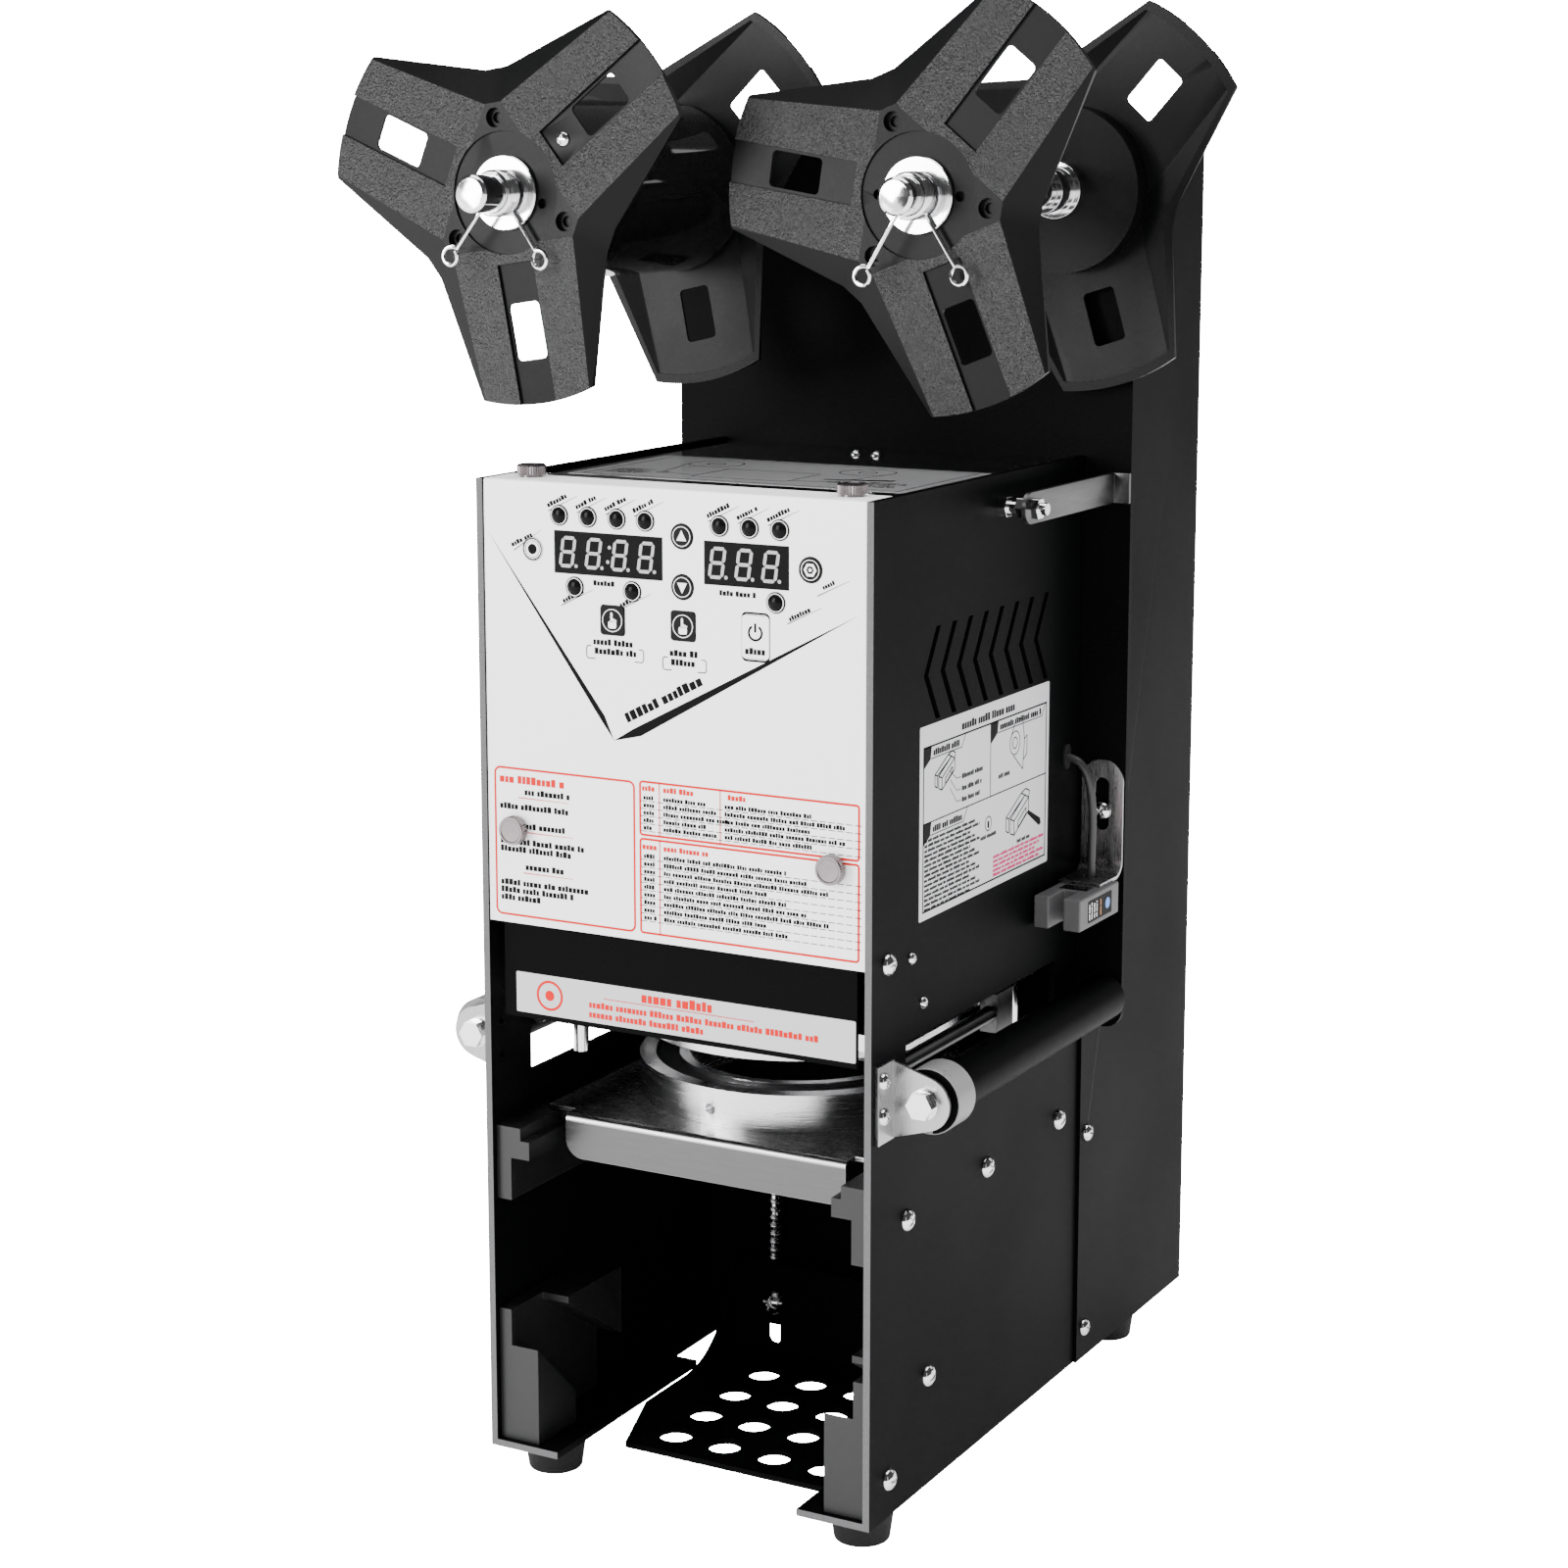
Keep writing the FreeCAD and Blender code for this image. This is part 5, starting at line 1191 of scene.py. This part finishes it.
path.circle((-42, 66), 2.6, 0.5)
path.circle((38, 66), 2.6, 0.5)
path.patch([(30, 74), (58, 82), (58, 78), (30, 72)])
for k in range(5):
    path.word_bars((-66, 58 + 3.4 * k), (-50 + 2 * (k % 3), 58 + 3.4 * k), 1.6, 600 + k)
    path.word_bars((52, 58 + 3.4 * k), (70 - 2 * (k % 3), 58 + 3.4 * k), 1.6, 610 + k)
path.done("lid_label_print", ink_black, "gloss_black")

# ---- film sensor
# A cast fork-shaped sensor with softened edges and a printed plate on its outer side, hung
# from a folded bracket of brushed steel.
finished("sensor_bracket", [brushed_small], edge=0.25)
sensor_grey = grained("sensor_grey", (0.055, 0.055, 0.057), 1600, (0.42, 0.6), 60, (0.25, 0.0003), dark=0.85)
finished("sensor_body", [sensor_grey], edge=0.8, segments=3)
sensor_side = 113
plate_black = side_sheet(sensor_side, film_lift)
plate_black.patch(rounded_box((156.5, 232.2), (182.0, 241.8), 0.6, 3))
plate_black.done("sensor_plate", ink_black, "grey_plastic")
plate_marks = side_sheet(sensor_side, print_lift)
for k in range(4):
    plate_marks.word_bars((158.0 + 2.6 * k, 233.4), (158.0 + 2.6 * k, 240.6), 0.9, 700 + k, (0.0, 1.0))
plate_marks.done("sensor_plate_marks", ink_white, "grey_plastic")
dial = side_sheet(sensor_side, print_lift)
dial.circle((177.5, 237.0), 2.4)
ink_blue = grained("blue_ink", (0.03, 0.16, 0.55), 1500, (0.3, 0.4), 40)
dial.done("sensor_dial", ink_blue, "grey_plastic")
marks = side_sheet(sensor_side, print_lift)
marks.word_bars((170.0, 233.4), (170.0, 240.6), 0.9, 710, (0.0, 1.0))
ink_orange = grained("orange_ink", (0.6, 0.2, 0.03), 1500, (0.3, 0.4), 40)
marks.done("sensor_marks", ink_orange, "grey_plastic")
top_plate = top_sheet(244.0, film_lift)
top_plate.patch(rounded_box((95.5, 165.0), (108.5, 173.0), 0.5, 3))
top_plate.done("sensor_top_plate", smoked_black, "grey_plastic")
